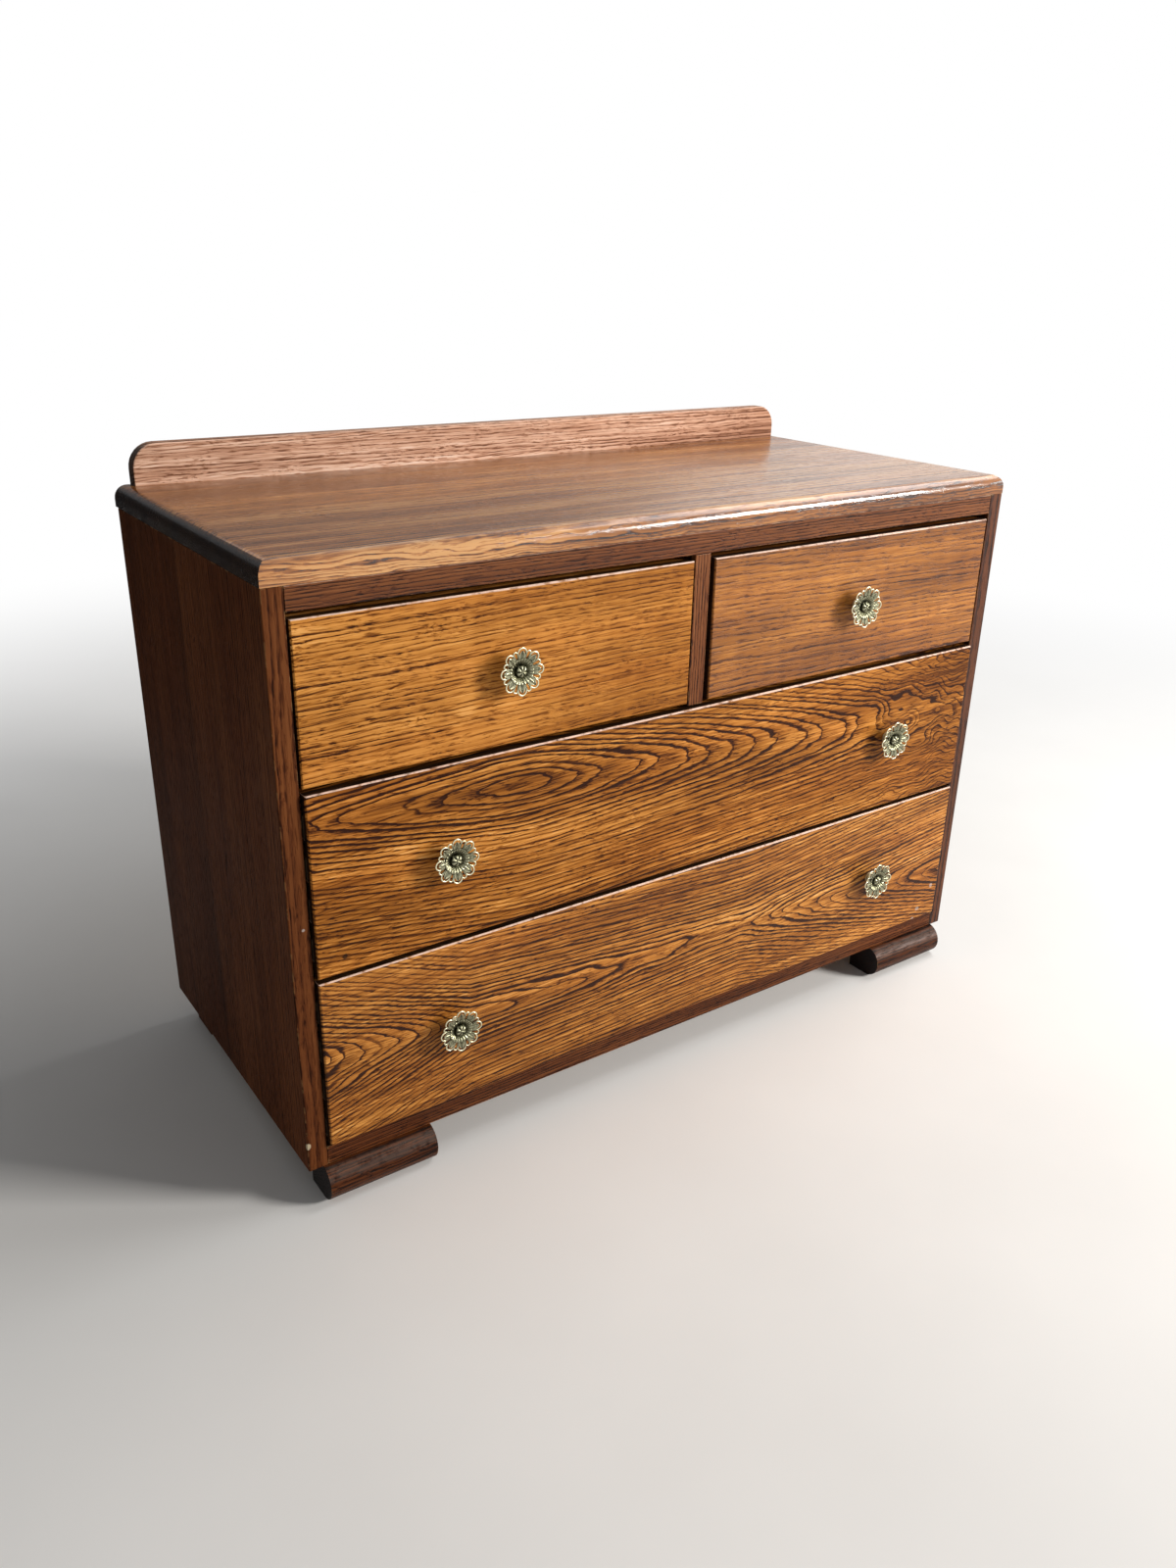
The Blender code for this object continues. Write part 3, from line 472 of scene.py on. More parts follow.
def wear_and_painted_light(board, look, colour, join, spots):
    """Lays worn edges, painted highlights on the upper arrises, grime and painted shade behind the face,
    stained ends with painted shade, the glued seam and single spots over a board's colour.
    """
    graph = board.graph
    rub = board.speckle(RUBS)
    worn = (1.0 - board.edge_distance().rise(*WORN_EDGE)) * (rub + 0.02).rise(0.02, 0.14)
    colour = graph.blend(worn * WORN_SHARE, colour, BARE_WOOD)
    lengthwise, crosswise = (board.facing[axis] for axis in board.axes[:2])
    # Painted highlight: upper arrises that face the light from above are paled, in patches.
    if look.painted_highlight:
        upward = board.facing[2]
        band = upward.rise(0.20, 0.50) * (1.0 - upward.rise(0.86, 0.97)) * (rub + 0.30).rise(0.0, 0.35)
        colour = graph.blend(band * look.painted_highlight, colour, HIGHLIGHT_PAINT)
    # Grime and painted shade on the edge faces just behind the face, which darkens the gaps round the
    # drawers.
    if look.gap_dirt_and_shade:
        turned = abs(lengthwise).most(abs(crosswise))
        behind = turned.rise(0.86, 0.97) * (1.0 - board.inward.rise(*GAP_SHADE_DEPTH))
        colour = graph.blend(behind * look.gap_dirt_and_shade, colour, DIRT_AND_SHADE)
    # Stained end grain, and painted shade: an end that faces left is darker than one that faces right.
    if look.ends:
        end_grain = (lengthwise * -1.0).most(lengthwise * RIGHT_END).rise(0.25, 0.75)
        colour = graph.blend(end_grain * look.ends, colour, END_STAIN_AND_SHADE)
    if join:
        seam = 1.0 - abs(board.across - join.place).rise(*SEAM)
        colour = graph.blend(seam * SEAM_SHARE, colour, DIRT_AND_SHADE)
    for spot, radius, paint, cover in spots:
        squares = [((axis - middle) * (1.0 / radius)).squared() for axis, middle in zip(board.place, spot)]
        away = (squares[0] + squares[1] + squares[2]).root() + rub * 1.6
        colour = graph.blend((1.0 - away.rise(0.7, 1.0)) * cover, colour, paint)
    return colour


def wood(name, node, axes, grain, look, face="low", join=None, spots=()):
    """Oak for one board. axes names the board's directions: along the grain, across it and into the face."""
    board = Board(name, node, axes, face)
    graph = board.graph
    rings, share, weight = ring_field(board, grain)
    level = look.level
    if join:
        beyond = (board.across - join.place).rise(-SEAM[0], SEAM[0])
        other, other_share, weight = ring_field(board, join.grain)
        rings = rings + beyond * (other - rings)
        share = beyond * (other_share - share) + share
        level = beyond * join.level + level
    line, fade, pores = ring_marks(board, grain, look, rings, share, weight)
    marks = line * look.line + fade * look.fade + pores * look.pores
    colour = graph.ramp(board_shade(board, grain, look, level, marks), look.stops)
    blush = board.pattern(BLUSHES, grain.seed).rise(-0.12, 0.22)
    colour = graph.blend(blush * BLUSH_SHARE, colour, BLUSH, "MULTIPLY")
    graph.set(
        Base_Color=wear_and_painted_light(board, look, colour, join, spots),
        Roughness=pores * 0.12 + board.speckle(SMUDGES) * 0.14 + look.roughness,
        Specular_IOR_Level=look.specular,
    )
    graph.bump(pores * -1.0 - line * 0.5, PORE_DEPTH, look.relief)
    return graph.material


ARRIS = 0.0005
FINE_ARRIS = 0.0004
THIN_ARRIS = 0.0003
KNOB_ARRIS = 0.0002
SAME_POINT = 0.00001
SHARP_ANGLE = math.radians(40)


def dress(node, material, arris=ARRIS):
    """Gives a node its material, softer arrises and even shading."""
    piece = NODES[node]
    mesh = piece.data
    mesh.materials.clear()
    mesh.materials.append(material)
    if "custom_normal" in mesh.attributes:
        mesh.attributes.remove(mesh.attributes["custom_normal"])
    mesh.shade_smooth()
    weld = piece.modifiers.new("weld", "WELD")
    weld.merge_threshold = SAME_POINT
    bevel = piece.modifiers.new("arrises", "BEVEL")
    bevel.width = arris
    bevel.segments = 2
    bevel.limit_method = "ANGLE"
    bevel.angle_limit = SHARP_ANGLE
    normals = piece.modifiers.new("normals", "WEIGHTED_NORMAL")
    normals.weight = 100


FRONT = "xzy"
TOP = "xyz"
SIDE = "zyx"
UPRIGHT = "zxy"
LOWER_SCUFFS = (
    ((0.4222, -0.1944, 0.1078), 0.0030, SCUFF, 0.28),
    ((0.4007, -0.1944, 0.0787), 0.0040, SCUFF, 0.25),
    ((0.3937, -0.1944, 0.0650), 0.0030, SCUFF, 0.25),
)
SIDE_CHIPS = (
    ((-0.4565, -0.1890, 0.0696), 0.0040, CHIP, 0.6),
    ((-0.4434, -0.1890, 0.3051), 0.0018, SCUFF, 0.32),
)
RED = Look(RED_OAK, level=0.80, streak=0.7, pores=0.3, roughness=0.45, specular=0.14, painted_highlight=0.30)
LOW_RED = Look(RED_OAK, level=0.66, streak=0.7, pores=0.3, roughness=0.45, specular=0.10)
DARK_RED = Look(RED_OAK, level=0.68, line=0.2, fade=0.1, roughness=0.60, specular=0.06)
FOOT = Look(RED_OAK, level=0.49, streak=1.0, pores=0.5, roughness=0.34, specular=0.10, painted_highlight=0.06, ends=0.9)
REAR_FOOT = Look(RED_OAK, level=0.50, line=0.2, fade=0.1, roughness=0.60, specular=0.06)


def rail_grain(seed):
    return Grain(0.0034, crowd=1.2, line=0.4, seed=seed)


def foot_grain(seed, line):
    return Grain(0.0042, crowd=1.4, sway=5.0, line=line, seed=seed)


BOARDS = {
    "small_left_front": dict(
        axes=FRONT,
        grain=Grain(
            0.0050, crowd=1.0, sway=2.5, ripple=0.7, spread=1.0, line=0.36, seed=3.1, lean=(0.012, 0.0)
        ),
        look=Look(
            GOLD_OAK,
            level=0.82,
            tone=0.5,
            streak=0.5,
            fibre=0.40,
            figure=0.22,
            line=0.13,
            fade=0.05,
            pores=0.26,
            dash=1.6,
            bold=(-0.43, -0.10, 0.7),
            drift=(-0.30, 0.0, -0.15),
            painted_highlight=1.0,
            gap_dirt_and_shade=0.95,
        ),
    ),
    "small_right_front": dict(
        axes=FRONT,
        grain=Grain(0.0060, crowd=1.2, sway=4.0, line=0.40, seed=9.7, lean=(-0.03, 0.0)),
        look=Look(
            GOLD_OAK,
            level=0.585,
            tone=0.9,
            streak=0.6,
            fibre=0.42,
            figure=0.16,
            line=0.12,
            fade=0.08,
            pores=0.20,
            specular=0.26,
            painted_highlight=1.0,
            gap_dirt_and_shade=0.95,
        ),
    ),
    "long_upper_front": dict(
        axes=FRONT,
        grain=Grain(
            0.0050,
            heart=(-0.216, 0.397),
            line=0.15,
            run=(0.045, 0.034),
            bow=(2.4, 8.0),
            crown=0.62,
            lean=(0.047, -0.064),
            sway=1.4,
            ripple=0.9,
            jag=0.35,
            bumps=(((0.315, 0.372), 0.030, 0.012, 2.0),),
            burl=(0.19, 0.38, 8.0),
            seed=21.0,
        ),
        look=Look(
            GOLD_OAK,
            level=0.64,
            tone=1.0,
            streak=0.8,
            fibre=0.90,
            line=0.95,
            fade=0.11,
            pores=0.40,
            dash=0.7,
            drift=(0.12, 0.40, -0.11),
            painted_highlight=1.0,
            gap_dirt_and_shade=0.95,
        ),
        spots=(((-0.4078, -0.1945, 0.2693), 0.0035, DIRT_AND_SHADE, 0.8),),
    ),
    "long_lower_front": dict(
        axes=FRONT,
        grain=Grain(
            0.0050,
            heart=(0.082, 0.151),
            run=(0.085, 0.027),
            tail=(0.36, 0.018),
            sense=-1.0,
            bow=(2.2, 0.0),
            lean=(0.02, -0.064),
            sway=2.0,
            ripple=1.0,
            jag=0.35,
            line=0.16,
            flames=((0.148, 0.022, 11.0, 3.0),),
            seed=34.0,
        ),
        look=Look(
            GOLD_OAK,
            level=0.675,
            tone=0.9,
            streak=0.9,
            fibre=0.90,
            line=1.10,
            fade=0.11,
            pores=0.40,
            dash=0.7,
            specular=0.16,
            painted_highlight=1.0,
            gap_dirt_and_shade=0.95,
        ),
        spots=LOWER_SCUFFS,
    ),
    "top_board": dict(
        axes=TOP,
        grain=Grain(
            0.0056, crowd=2.0, turn=1.5, sway=5.0, line=0.34, flames=((-0.205, 0.022, 20.0, 5.0),), seed=46.0
        ),
        look=Look(
            BROWN_OAK,
            level=0.83,
            tone=1.1,
            streak=1.2,
            bands=52.0,
            line=0.30,
            fade=0.18,
            pores=0.30,
            nose_wear_and_shade=(-0.26, 0.06, 0.12, -0.46),
            roughness=0.15,
            specular=0.7,
            relief=0.25,
            drift=(-0.45, 0.45, 0.20),
            ends=0.95,
        ),
        face="high",
        join=Join(0.077, Grain(0.0052, sway=4.0, flames=((0.170, 0.012, 55.0, 5.0),), seed=49.0), -0.16),
    ),
    "back_upstand": dict(
        axes=FRONT,
        grain=Grain(0.0040, crowd=1.4, sway=3.0, line=0.45, seed=57.0, lean=(0.004, 0.0)),
        look=Look(
            TAN_OAK,
            level=0.68,
            tone=0.8,
            streak=1.5,
            fibre=0.80,
            line=0.24,
            fade=0.08,
            pores=0.40,
            drift=(0.08, 0.42, -0.15),
            painted_highlight=0.4,
            ends=0.85,
        ),
    ),
    "side_left": dict(
        axes=SIDE,
        grain=Grain(0.0040, crowd=1.5, sway=4.0, line=0.4, seed=63.0),
        look=DARK_RED,
        join=Join(0.027, Grain(0.0046, sway=4.0, flames=((0.110, 0.014, 38.0, 4.0),), seed=66.0), -0.10),
        spots=SIDE_CHIPS,
    ),
    "side_right": dict(
        axes=SIDE,
        grain=Grain(0.0040, crowd=1.5, sway=4.0, line=0.4, seed=71.0),
        look=Look(RED_OAK, level=0.58, line=0.2, roughness=0.45, specular=0.2),
        face="high",
        join=Join(0.031, Grain(0.0044, crowd=1.2, sway=4.0, line=0.4, seed=74.0), -0.08),
    ),
    "top_front_rail": dict(axes=FRONT, grain=rail_grain(77.0), look=RED),
    "bottom_front_rail": dict(axes=FRONT, grain=rail_grain(83.0), look=LOW_RED),
    "centre_divider": dict(axes=UPRIGHT, grain=rail_grain(89.0), look=RED),
    "front_foot_left": dict(axes=FRONT, grain=foot_grain(95.0, 0.4), look=FOOT),
    "front_foot_right": dict(axes=FRONT, grain=foot_grain(101.0, 0.4), look=FOOT),
    "rear_foot_left": dict(axes=FRONT, grain=foot_grain(107.0, 0.24), look=REAR_FOOT),
    "rear_foot_right": dict(axes=FRONT, grain=foot_grain(113.0, 0.24), look=REAR_FOOT),
}


def dress_boards():
    for node, board in BOARDS.items():
        dress(node, wood(f"oak_{node}", node, **board))


# Patterns in unvarnished wood: cells per metre along the grain and across it
PLAIN_SWAY = (2.0, 14.0)
PLAIN_FIBRE = (50.0, 900.0)
PLAIN_TONE = (3.0, 17.0)
PLAIN_STAIN = (5.0, 11.0)
PICK_REACH = 40.0
DIRT_AND_SHADE_LENGTH = (0.012, 0.024)  # shares of a board's length between which the grime and painted shade on its front end stop


def plain_wood(name, along_axis, stops, pitch, level, end_dirt_and_shade=0.0):
    """Unvarnished wood for boards that lie inside: each board shows another part of the pattern.

    end_dirt_and_shade darkens the front ends with grime and painted shade, as they are seen through the gaps
    round the drawers.
    """
    graph = Graph(name)
    place = graph.place()
    pick = Field(graph, graph.node("ObjectInfo").outputs["Random"]) * PICK_REACH
    along = place.pop(AXES.index(along_axis))
    first, second = place

    def pattern(cells, shift, detail=2.0):
        return graph.noise(along * cells[0] + shift, first * cells[1], second * cells[1], detail)

    sway = pattern(PLAIN_SWAY, pick)
    rings = (first * 0.8 + second) * (1.0 / pitch) + sway * 5.0 + pick
    turn = rings.fraction()
    late = turn.rise(0.35, 0.92) * (1.0 - turn.rise(0.94, 1.0))
    fibre = pattern(PLAIN_FIBRE, pick)
    tone = pattern(PLAIN_TONE, pick * -1.0, 3.0)
    shade = tone * 0.7 + fibre * 0.5 - late * 0.28 + level
    stain = pattern(PLAIN_STAIN, pick, 4.0).rise(0.10, 0.34)
    colour = graph.blend(stain * 0.35, graph.ramp(shade, stops), DIRT_AND_SHADE)
    # Grime and painted shade on the front ends, seen through the gaps round the drawers.
    if end_dirt_and_shade:
        ends = graph.node("SeparateXYZ")
        graph.feed(ends.inputs[0], graph.node("TexCoord").outputs["Generated"])
        share_along = Field(graph, ends.outputs[AXES.index(along_axis)])
        colour = graph.blend((1.0 - share_along.rise(*DIRT_AND_SHADE_LENGTH)) * end_dirt_and_shade, colour, DIRT_AND_SHADE)
    graph.set(Base_Color=colour, Roughness=fibre * 0.2 + 0.66)
    graph.bump(fibre - late * 0.3, 0.0002, 0.6)
    return graph.material


PINE = (
    (0.0, (0.25, 0.13, 0.05)),
    (0.5, (0.47, 0.29, 0.14)),
    (1.0, (0.66, 0.47, 0.27)),
)
PLY = (
    (0.0, (0.22, 0.12, 0.055)),
    (0.5, (0.42, 0.26, 0.13)),
    (1.0, (0.58, 0.40, 0.23)),
)


PINE_ENDINGS = ("_side_left", "_side_right", "_runner", "_runner_left", "_runner_right", "_guide")
RAIL_ENDINGS = ("_drawer_rail", "_rear_rail")
# How much grime and painted shade darken the front ends of the drawer sides.
END_DIRT_AND_SHADE = 0.85


def dress_inside():
    pine_deep = plain_wood("pine_along_depth", "y", PINE, pitch=0.0055, level=0.62, end_dirt_and_shade=END_DIRT_AND_SHADE)
    pine_wide = plain_wood("pine_along_width", "x", PINE, pitch=0.0055, level=0.60)
    ply_wide = plain_wood("plywood_along_width", "x", PLY, pitch=0.028, level=0.62)
    # The inner rails get a darker oak: painted shade for the gaps round the drawers.
    rail = plain_wood("case_wood_inside_painted_shade", "x", RED_OAK, pitch=0.0034, level=0.48)
    for node in NODES:
        if node.endswith(PINE_ENDINGS) or node.startswith("kicker"):
            dress(node, pine_deep, FINE_ARRIS)
        elif node.endswith("_back"):
            dress(node, pine_wide, FINE_ARRIS)
        elif node.endswith("_bottom") or node == "back_panel":
            dress(node, ply_wide, THIN_ARRIS)
        elif node.endswith(RAIL_ENDINGS):
            dress(node, rail)


# Brass

BRASS = (
    (0.0, (0.006, 0.006, 0.002)),
    (0.45, (0.018, 0.018, 0.007)),
    (0.72, (0.036, 0.036, 0.018)),
    (0.88, (0.110, 0.108, 0.063)),
    (1.0, (0.400, 0.388, 0.258)),
)
RUBBED_BRASS = (0.80, 0.77, 0.54)
RUBBED_FROM, RUBBED_TO = 0.0165, 0.0215  # distances from a flower's middle between which the rubbing sets in
RECESS = 0.0045  # how far the surroundings of a point darken it


def brass(name):
    """Old cast brass: pale where it is worn, dark and greenish in its recesses."""
    graph = Graph(name)
    shelter = graph.node("AmbientOcclusion", samples=8, only_local=True)
    shelter.inputs["Distance"].default_value = RECESS
    open_sky = Field(graph, shelter.outputs["AO"])
    x, y, z = graph.place()
    cloud = graph.noise(x * 260.0, y * 260.0, z * 260.0, 3.0)
    grit = graph.noise(x * 1500.0, y * 1500.0, z * 1500.0, 2.0)
    rim = (x.squared() + z.squared()).root().rise(RUBBED_FROM, RUBBED_TO)
    bright = (open_sky + rim * 0.12 + cloud * 0.35 + grit * 0.2).rise(0.50, 1.0)
    colour = graph.blend(rim * bright * 0.9, graph.ramp(bright, BRASS), RUBBED_BRASS)
    graph.set(Base_Color=colour, Metallic=1.0, Roughness=0.55 - bright * 0.24 + grit * 0.1)
    graph.bump(cloud * 0.5 + grit, 0.00012, 0.5)
    return graph.material


# Flower knobs: a flower is made flat, facing +z, and then turned to face the front

PETALS = 8
RIM = 0.0235
HUB = 0.007
FLOWER_BACK = 0.0012
FLOWER_RISE = 0.0020  # how much further forward the rim lies than the hub
WIRE = 0.00078
SMALL_WIRE = WIRE * 0.9
LOOP_ROOT = 0.0122
LARGE_LOOP = dict(root_half=0.0022, centre=RIM - 0.0044 - WIRE, radius=0.0044, sweep=118, steps=22)
SMALL_LOOP = dict(root_half=0.0010, centre=0.0187, radius=0.0021, sweep=105, steps=16)
LEAF_ROWS = 9
LEAF_COLUMNS = 8
LEAF_START = 0.0118
LEAF_LENGTH = 0.0086
LEAF_HALF_WIDTH = 0.0035
LEAF_TIP = 0.0001
LEAF_THICKNESS = 0.0008
LEAF_LIFT = 0.0005  # how far the leaf lies in front of the wires
MIDRIB = 0.0008
LEAF_CUP = 0.0005  # how far the edges of the leaf turn up
LEAF_FOLD = 0.00018
TIP_RISE = 0.0002
FLOWER_SHARP = math.radians(50)


def rise_at(radius):
    """How far forward the wires lie at a distance from the middle."""
    return FLOWER_BACK + FLOWER_RISE * (radius - HUB) / (RIM - HUB)


def ring_of(shape, centre, side, up, radius, sides):
    ring = []
    for count in range(sides):
        angle = 2 * math.pi * count / sides
        ring.append(shape.verts.new(centre + radius * (math.cos(angle) * side + math.sin(angle) * up)))
    return ring


def bridge(shape, first, second):
    for count in range(len(first)):
        after = (count + 1) % len(first)
        shape.faces.new((first[count], first[after], second[after], second[count]))


def add_tube(shape, points, radius, sides=8):
    """A round wire through the points, closed at both ends."""
    rings = []
    for count, point in enumerate(points):
        before = points[max(count - 1, 0)]
        after = points[min(count + 1, len(points) - 1)]
        forward = (after - before).normalized()
        side = forward.cross(Vector((0.0, 0.0, 1.0))).normalized()
        rings.append(ring_of(shape, point, side, side.cross(forward), radius, sides))
    for first, second in zip(rings, rings[1:]):
        bridge(shape, first, second)
    shape.faces.new(list(reversed(rings[0])))
    shape.faces.new(rings[-1])


def loop_points(turn, root_half, centre, radius, sweep, steps):
    """A loop of wire from the boss out and back: two legs and a round end."""
    flat = [(LOOP_ROOT, -root_half)]
    for count in range(steps + 1):
        angle = math.radians(sweep) * (2 * count / steps - 1)
        flat.append((centre + radius * math.cos(angle), radius * math.sin(angle)))
    flat.append((LOOP_ROOT, root_half))
    spin = Matrix.Rotation(turn, 3, "Z")
    return [spin @ Vector((x, y, rise_at(math.hypot(x, y)))) for x, y in flat]


def leaf_sheet(shape, turn, drop):
    """Rows of points over a pointed leaf with a raised midrib, turned up at its tip."""
    spin = Matrix.Rotation(turn, 3, "Z")
    rows = []
    for row in range(LEAF_ROWS + 1):
        share = row / LEAF_ROWS
        half = LEAF_HALF_WIDTH * math.sin(math.pi * min(0.30 + 0.70 * share, 1.0)) ** 0.8 + LEAF_TIP
        out = LEAF_START + LEAF_LENGTH * share
        line = []
        for column in range(LEAF_COLUMNS + 1):
            side = 2 * column / LEAF_COLUMNS - 1
            ridge = MIDRIB * max(0.0, 1 - 3 * abs(side)) + LEAF_CUP * abs(side) ** 2
            fold = LEAF_FOLD * math.cos(side * 3 * math.pi)
            height = rise_at(out) + LEAF_LIFT + ridge + fold + TIP_RISE * share**2 - drop
            line.append(shape.verts.new(spin @ Vector((out, half * side, height))))
        rows.append(line)
    return rows


def add_leaf(shape, turn):
    """A leaf of even thickness: a front, a back and the border between them."""
    front = leaf_sheet(shape, turn, 0.0)
    back = leaf_sheet(shape, turn, LEAF_THICKNESS)
    for row in range(LEAF_ROWS):
        for column in range(LEAF_COLUMNS):
            quad = [(row, column), (row + 1, column), (row + 1, column + 1), (row, column + 1)]
            shape.faces.new([front[r][c] for r, c in quad])
            shape.faces.new([back[r][c] for r, c in reversed(quad)])
    border = [(0, c) for c in range(LEAF_COLUMNS)]
    border += [(r, LEAF_COLUMNS) for r in range(LEAF_ROWS)]
    border += [(LEAF_ROWS, c) for c in range(LEAF_COLUMNS, 0, -1)]
    border += [(r, 0) for r in range(LEAF_ROWS, 0, -1)]
    for (row, column), (next_row, next_column) in zip(border, border[1:] + border[:1]):
        near, far = front[row][column], front[next_row][next_column]
        under, beyond = back[row][column], back[next_row][next_column]
        shape.faces.new((near, far, beyond, under))


BOSS_PROFILE = (
    # distance from the middle, height, depth of the flutes, depth of the lobes
    (0.0008, 0.0038, 0.0, 0.0),
    (0.0015, 0.0038, 0.0, 0.00020),
    (0.0024, 0.0036, 0.0, 0.00045),
    (0.0034, 0.0032, 0.0, 0.00055),
    (0.0044, 0.0027, 0.0, 0.00055),
    (0.0053, 0.0020, 0.0, 0.00045),
    (0.0060, 0.0012, 0.0, 0.00025),
    (0.0065, 0.0004, 0.0, 0.0),
    (0.0073, 0.0006, 0.00012, 0.0),
    (0.0085, 0.0012, 0.00036, 0.0),
    (0.0099, 0.0020, 0.00054, 0.0),
    (0.0112, 0.0027, 0.00058, 0.0),
    (0.0123, 0.0031, 0.00045, 0.0),
    (0.0128, 0.0029, 0.00020, 0.0),
    (0.0128, 0.0001, 0.0, 0.0),
    (0.0026, 0.0001, 0.0, 0.0),
)
FLUTES = 24
LOBES = 6
BOSS_SIDES = FLUTES * 6
BOSS_SPLAY = 0.6  # how far flutes and lobes move the outline, as a share of their depth
BEAD_HEIGHT = 0.0034
BEAD_RADIUS = 0.0011


def add_boss(shape):
    """The middle: a lobed dome in a fluted dish."""
    rings = []
    for radius, height, flute, lobe in BOSS_PROFILE:
        ring = []
        for count in range(BOSS_SIDES):
            angle = 2 * math.pi * count / BOSS_SIDES
            lift = flute * math.cos(FLUTES * angle) + lobe * (2 * abs(math.sin(LOBES * angle / 2)) - 1)
            out = radius + lift * BOSS_SPLAY
            ring.append(shape.verts.new((out * math.cos(angle), out * math.sin(angle), height + lift)))
        rings.append(ring)
    for first, second in zip(rings, rings[1:]):
        bridge(shape, first, second)
    shape.faces.new(list(reversed(rings[0])))
    shape.faces.new(rings[-1])


def add_bead(shape):
    """The small bead where the lobes meet."""
    spot = Matrix.Translation((0.0, 0.0, BEAD_HEIGHT))
    bmesh.ops.create_icosphere(shape, subdivisions=2, radius=BEAD_RADIUS, matrix=spot)


def finish_mesh(shape, name, material, sharp):
    bmesh.ops.recalc_face_normals(shape, faces=shape.faces)
    mesh = bpy.data.meshes.new(name)
    shape.to_mesh(mesh)
    shape.free()
    mesh.materials.append(material)
    mesh.shade_smooth()
    mesh.set_sharp_from_angle(angle=sharp)
    return mesh


def flower_mesh(material):
    shape = bmesh.new()
    add_boss(shape)
    add_bead(shape)
    for count in range(PETALS):
        turn = 2 * math.pi * count / PETALS
        add_leaf(shape, turn)
        add_tube(shape, loop_points(turn, **LARGE_LOOP), WIRE)
        add_tube(shape, loop_points(turn + math.pi / PETALS, **SMALL_LOOP), SMALL_WIRE)
    mesh = finish_mesh(shape, "flower", material, FLOWER_SHARP)
    mesh.transform(Matrix.Rotation(math.pi / 2, 4, "X"))
    return mesh


def add_piece(name, mesh, place, body):
    piece = bpy.data.objects.new(name, mesh)
    bpy.context.scene.collection.objects.link(piece)
    piece.location = place
    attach(piece, body)
    return piece


def make_knobs():
    casting = brass("brass_casting")
    mesh = flower_mesh(casting)
    for drawer, side in KNOBS:
        label = f"{drawer}_{side}"
        low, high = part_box(f"knob_flower_{label}")
        seat = ((low.x + high.x) / 2, high.y, (low.z + high.z) / 2)
        flower = add_piece(f"flower_{label}", mesh, seat, f"drawer_{drawer}")
        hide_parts(f"knob_flower_{label}")
        dress(f"knob_stem_{label}", casting, KNOB_ARRIS)


# Fasteners

PIN_HEAD = (
    # radius, height
    (0.0004, 0.00045),
    (0.0010, 0.00038),
    (0.0015, 0.00020),
    (0.0016, -0.00020),
)
PIN_SIDES = 12
PIN_INSET = 0.006
PIN_STEP = 0.095
FASTENER_SHARP = math.radians(30)
BORE = 0.00252
WASHER = (
    # radius, height
    (BORE, 0.0),
    (0.0050, 0.0),
    (0.0053, 0.0003),
    (0.0053, 0.0007),
    (0.0050, 0.0010),
    (BORE, 0.0010),
)
NUT_FLAT = 0.0040
NUT_LOW = 0.0010
NUT_HIGH = 0.0048
NUT_CHAMFER = 0.0006
NUT_SIDES = 48


def add_pin_head(shape, spot, out):
    side = out.orthogonal().normalized()
    up = out.cross(side)
    rings = [ring_of(shape, spot + out * height, side, up, radius, PIN_SIDES) for radius, height in PIN_HEAD]
    for first, second in zip(rings, rings[1:]):
        bridge(shape, first, second)
    shape.faces.new(rings[0])
    shape.faces.new(list(reversed(rings[-1])))


def close_rings(shape, rings):
    for first, second in zip(rings, rings[1:] + rings[:1]):
        bridge(shape, first, second)


def hexagon(shape, height, corner):
    """A ring of the nut's outline, with the corners cut to a radius."""
    ring = []
    for count in range(NUT_SIDES):
        angle = 2 * math.pi * count / NUT_SIDES
        from_flat = (angle + math.pi / 6) % (math.pi / 3) - math.pi / 6
        out = min(NUT_FLAT / math.cos(from_flat), corner)
        ring.append(shape.verts.new((out * math.cos(angle), height, out * math.sin(angle))))
    return ring


def circle(shape, height, radius):
    """A ring round the y axis."""
    across = Vector((1.0, 0.0, 0.0))
    up = Vector((0.0, 0.0, 1.0))
    return ring_of(shape, Vector((0.0, height, 0.0)), across, up, radius, NUT_SIDES)


def nut_mesh(material):
    """A washer and a hexagon nut with a bore, which lie against y = 0."""
    shape = bmesh.new()
    close_rings(shape, [circle(shape, height, radius) for radius, height in WASHER])
    corner = NUT_FLAT / math.cos(math.pi / 6)
    rings = [
        circle(shape, NUT_LOW, BORE),
        hexagon(shape, NUT_LOW, NUT_FLAT),
        hexagon(shape, NUT_LOW + NUT_CHAMFER, corner),
        hexagon(shape, NUT_HIGH - NUT_CHAMFER, corner),
        hexagon(shape, NUT_HIGH, NUT_FLAT),
        circle(shape, NUT_HIGH, BORE),
    ]
    close_rings(shape, rings)
    return finish_mesh(shape, "nut", material, FASTENER_SHARP)


def spaced(low, high):
    """Places about a pin's step apart, from a little inside low to a little inside high."""
    steps = max(2, round((high - low) / PIN_STEP))
    first = low + PIN_INSET
    return [first + (high - low - 2 * PIN_INSET) * count / steps for count in range(steps + 1)]


def add_nuts(metal):
    nut = nut_mesh(metal)
    for drawer, side in KNOBS:
        low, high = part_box(f"knob_stem_{drawer}_{side}")
        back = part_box(f"{drawer}_front")[1].y
        seat = ((low.x + high.x) / 2, back, (low.z + high.z) / 2)
        add_piece(f"nut_{drawer}_{side}", nut, seat, f"drawer_{drawer}")


def add_pins(name, metal, spots, out, body):
    """Pin heads at the spots, all in one piece."""
    shape = bmesh.new()
    for spot in spots:
        add_pin_head(shape, Vector(spot), Vector(out))
    mesh = finish_mesh(shape, name, metal, FASTENER_SHARP)
    add_piece(name, mesh, (0.0, 0.0, 0.0), body)


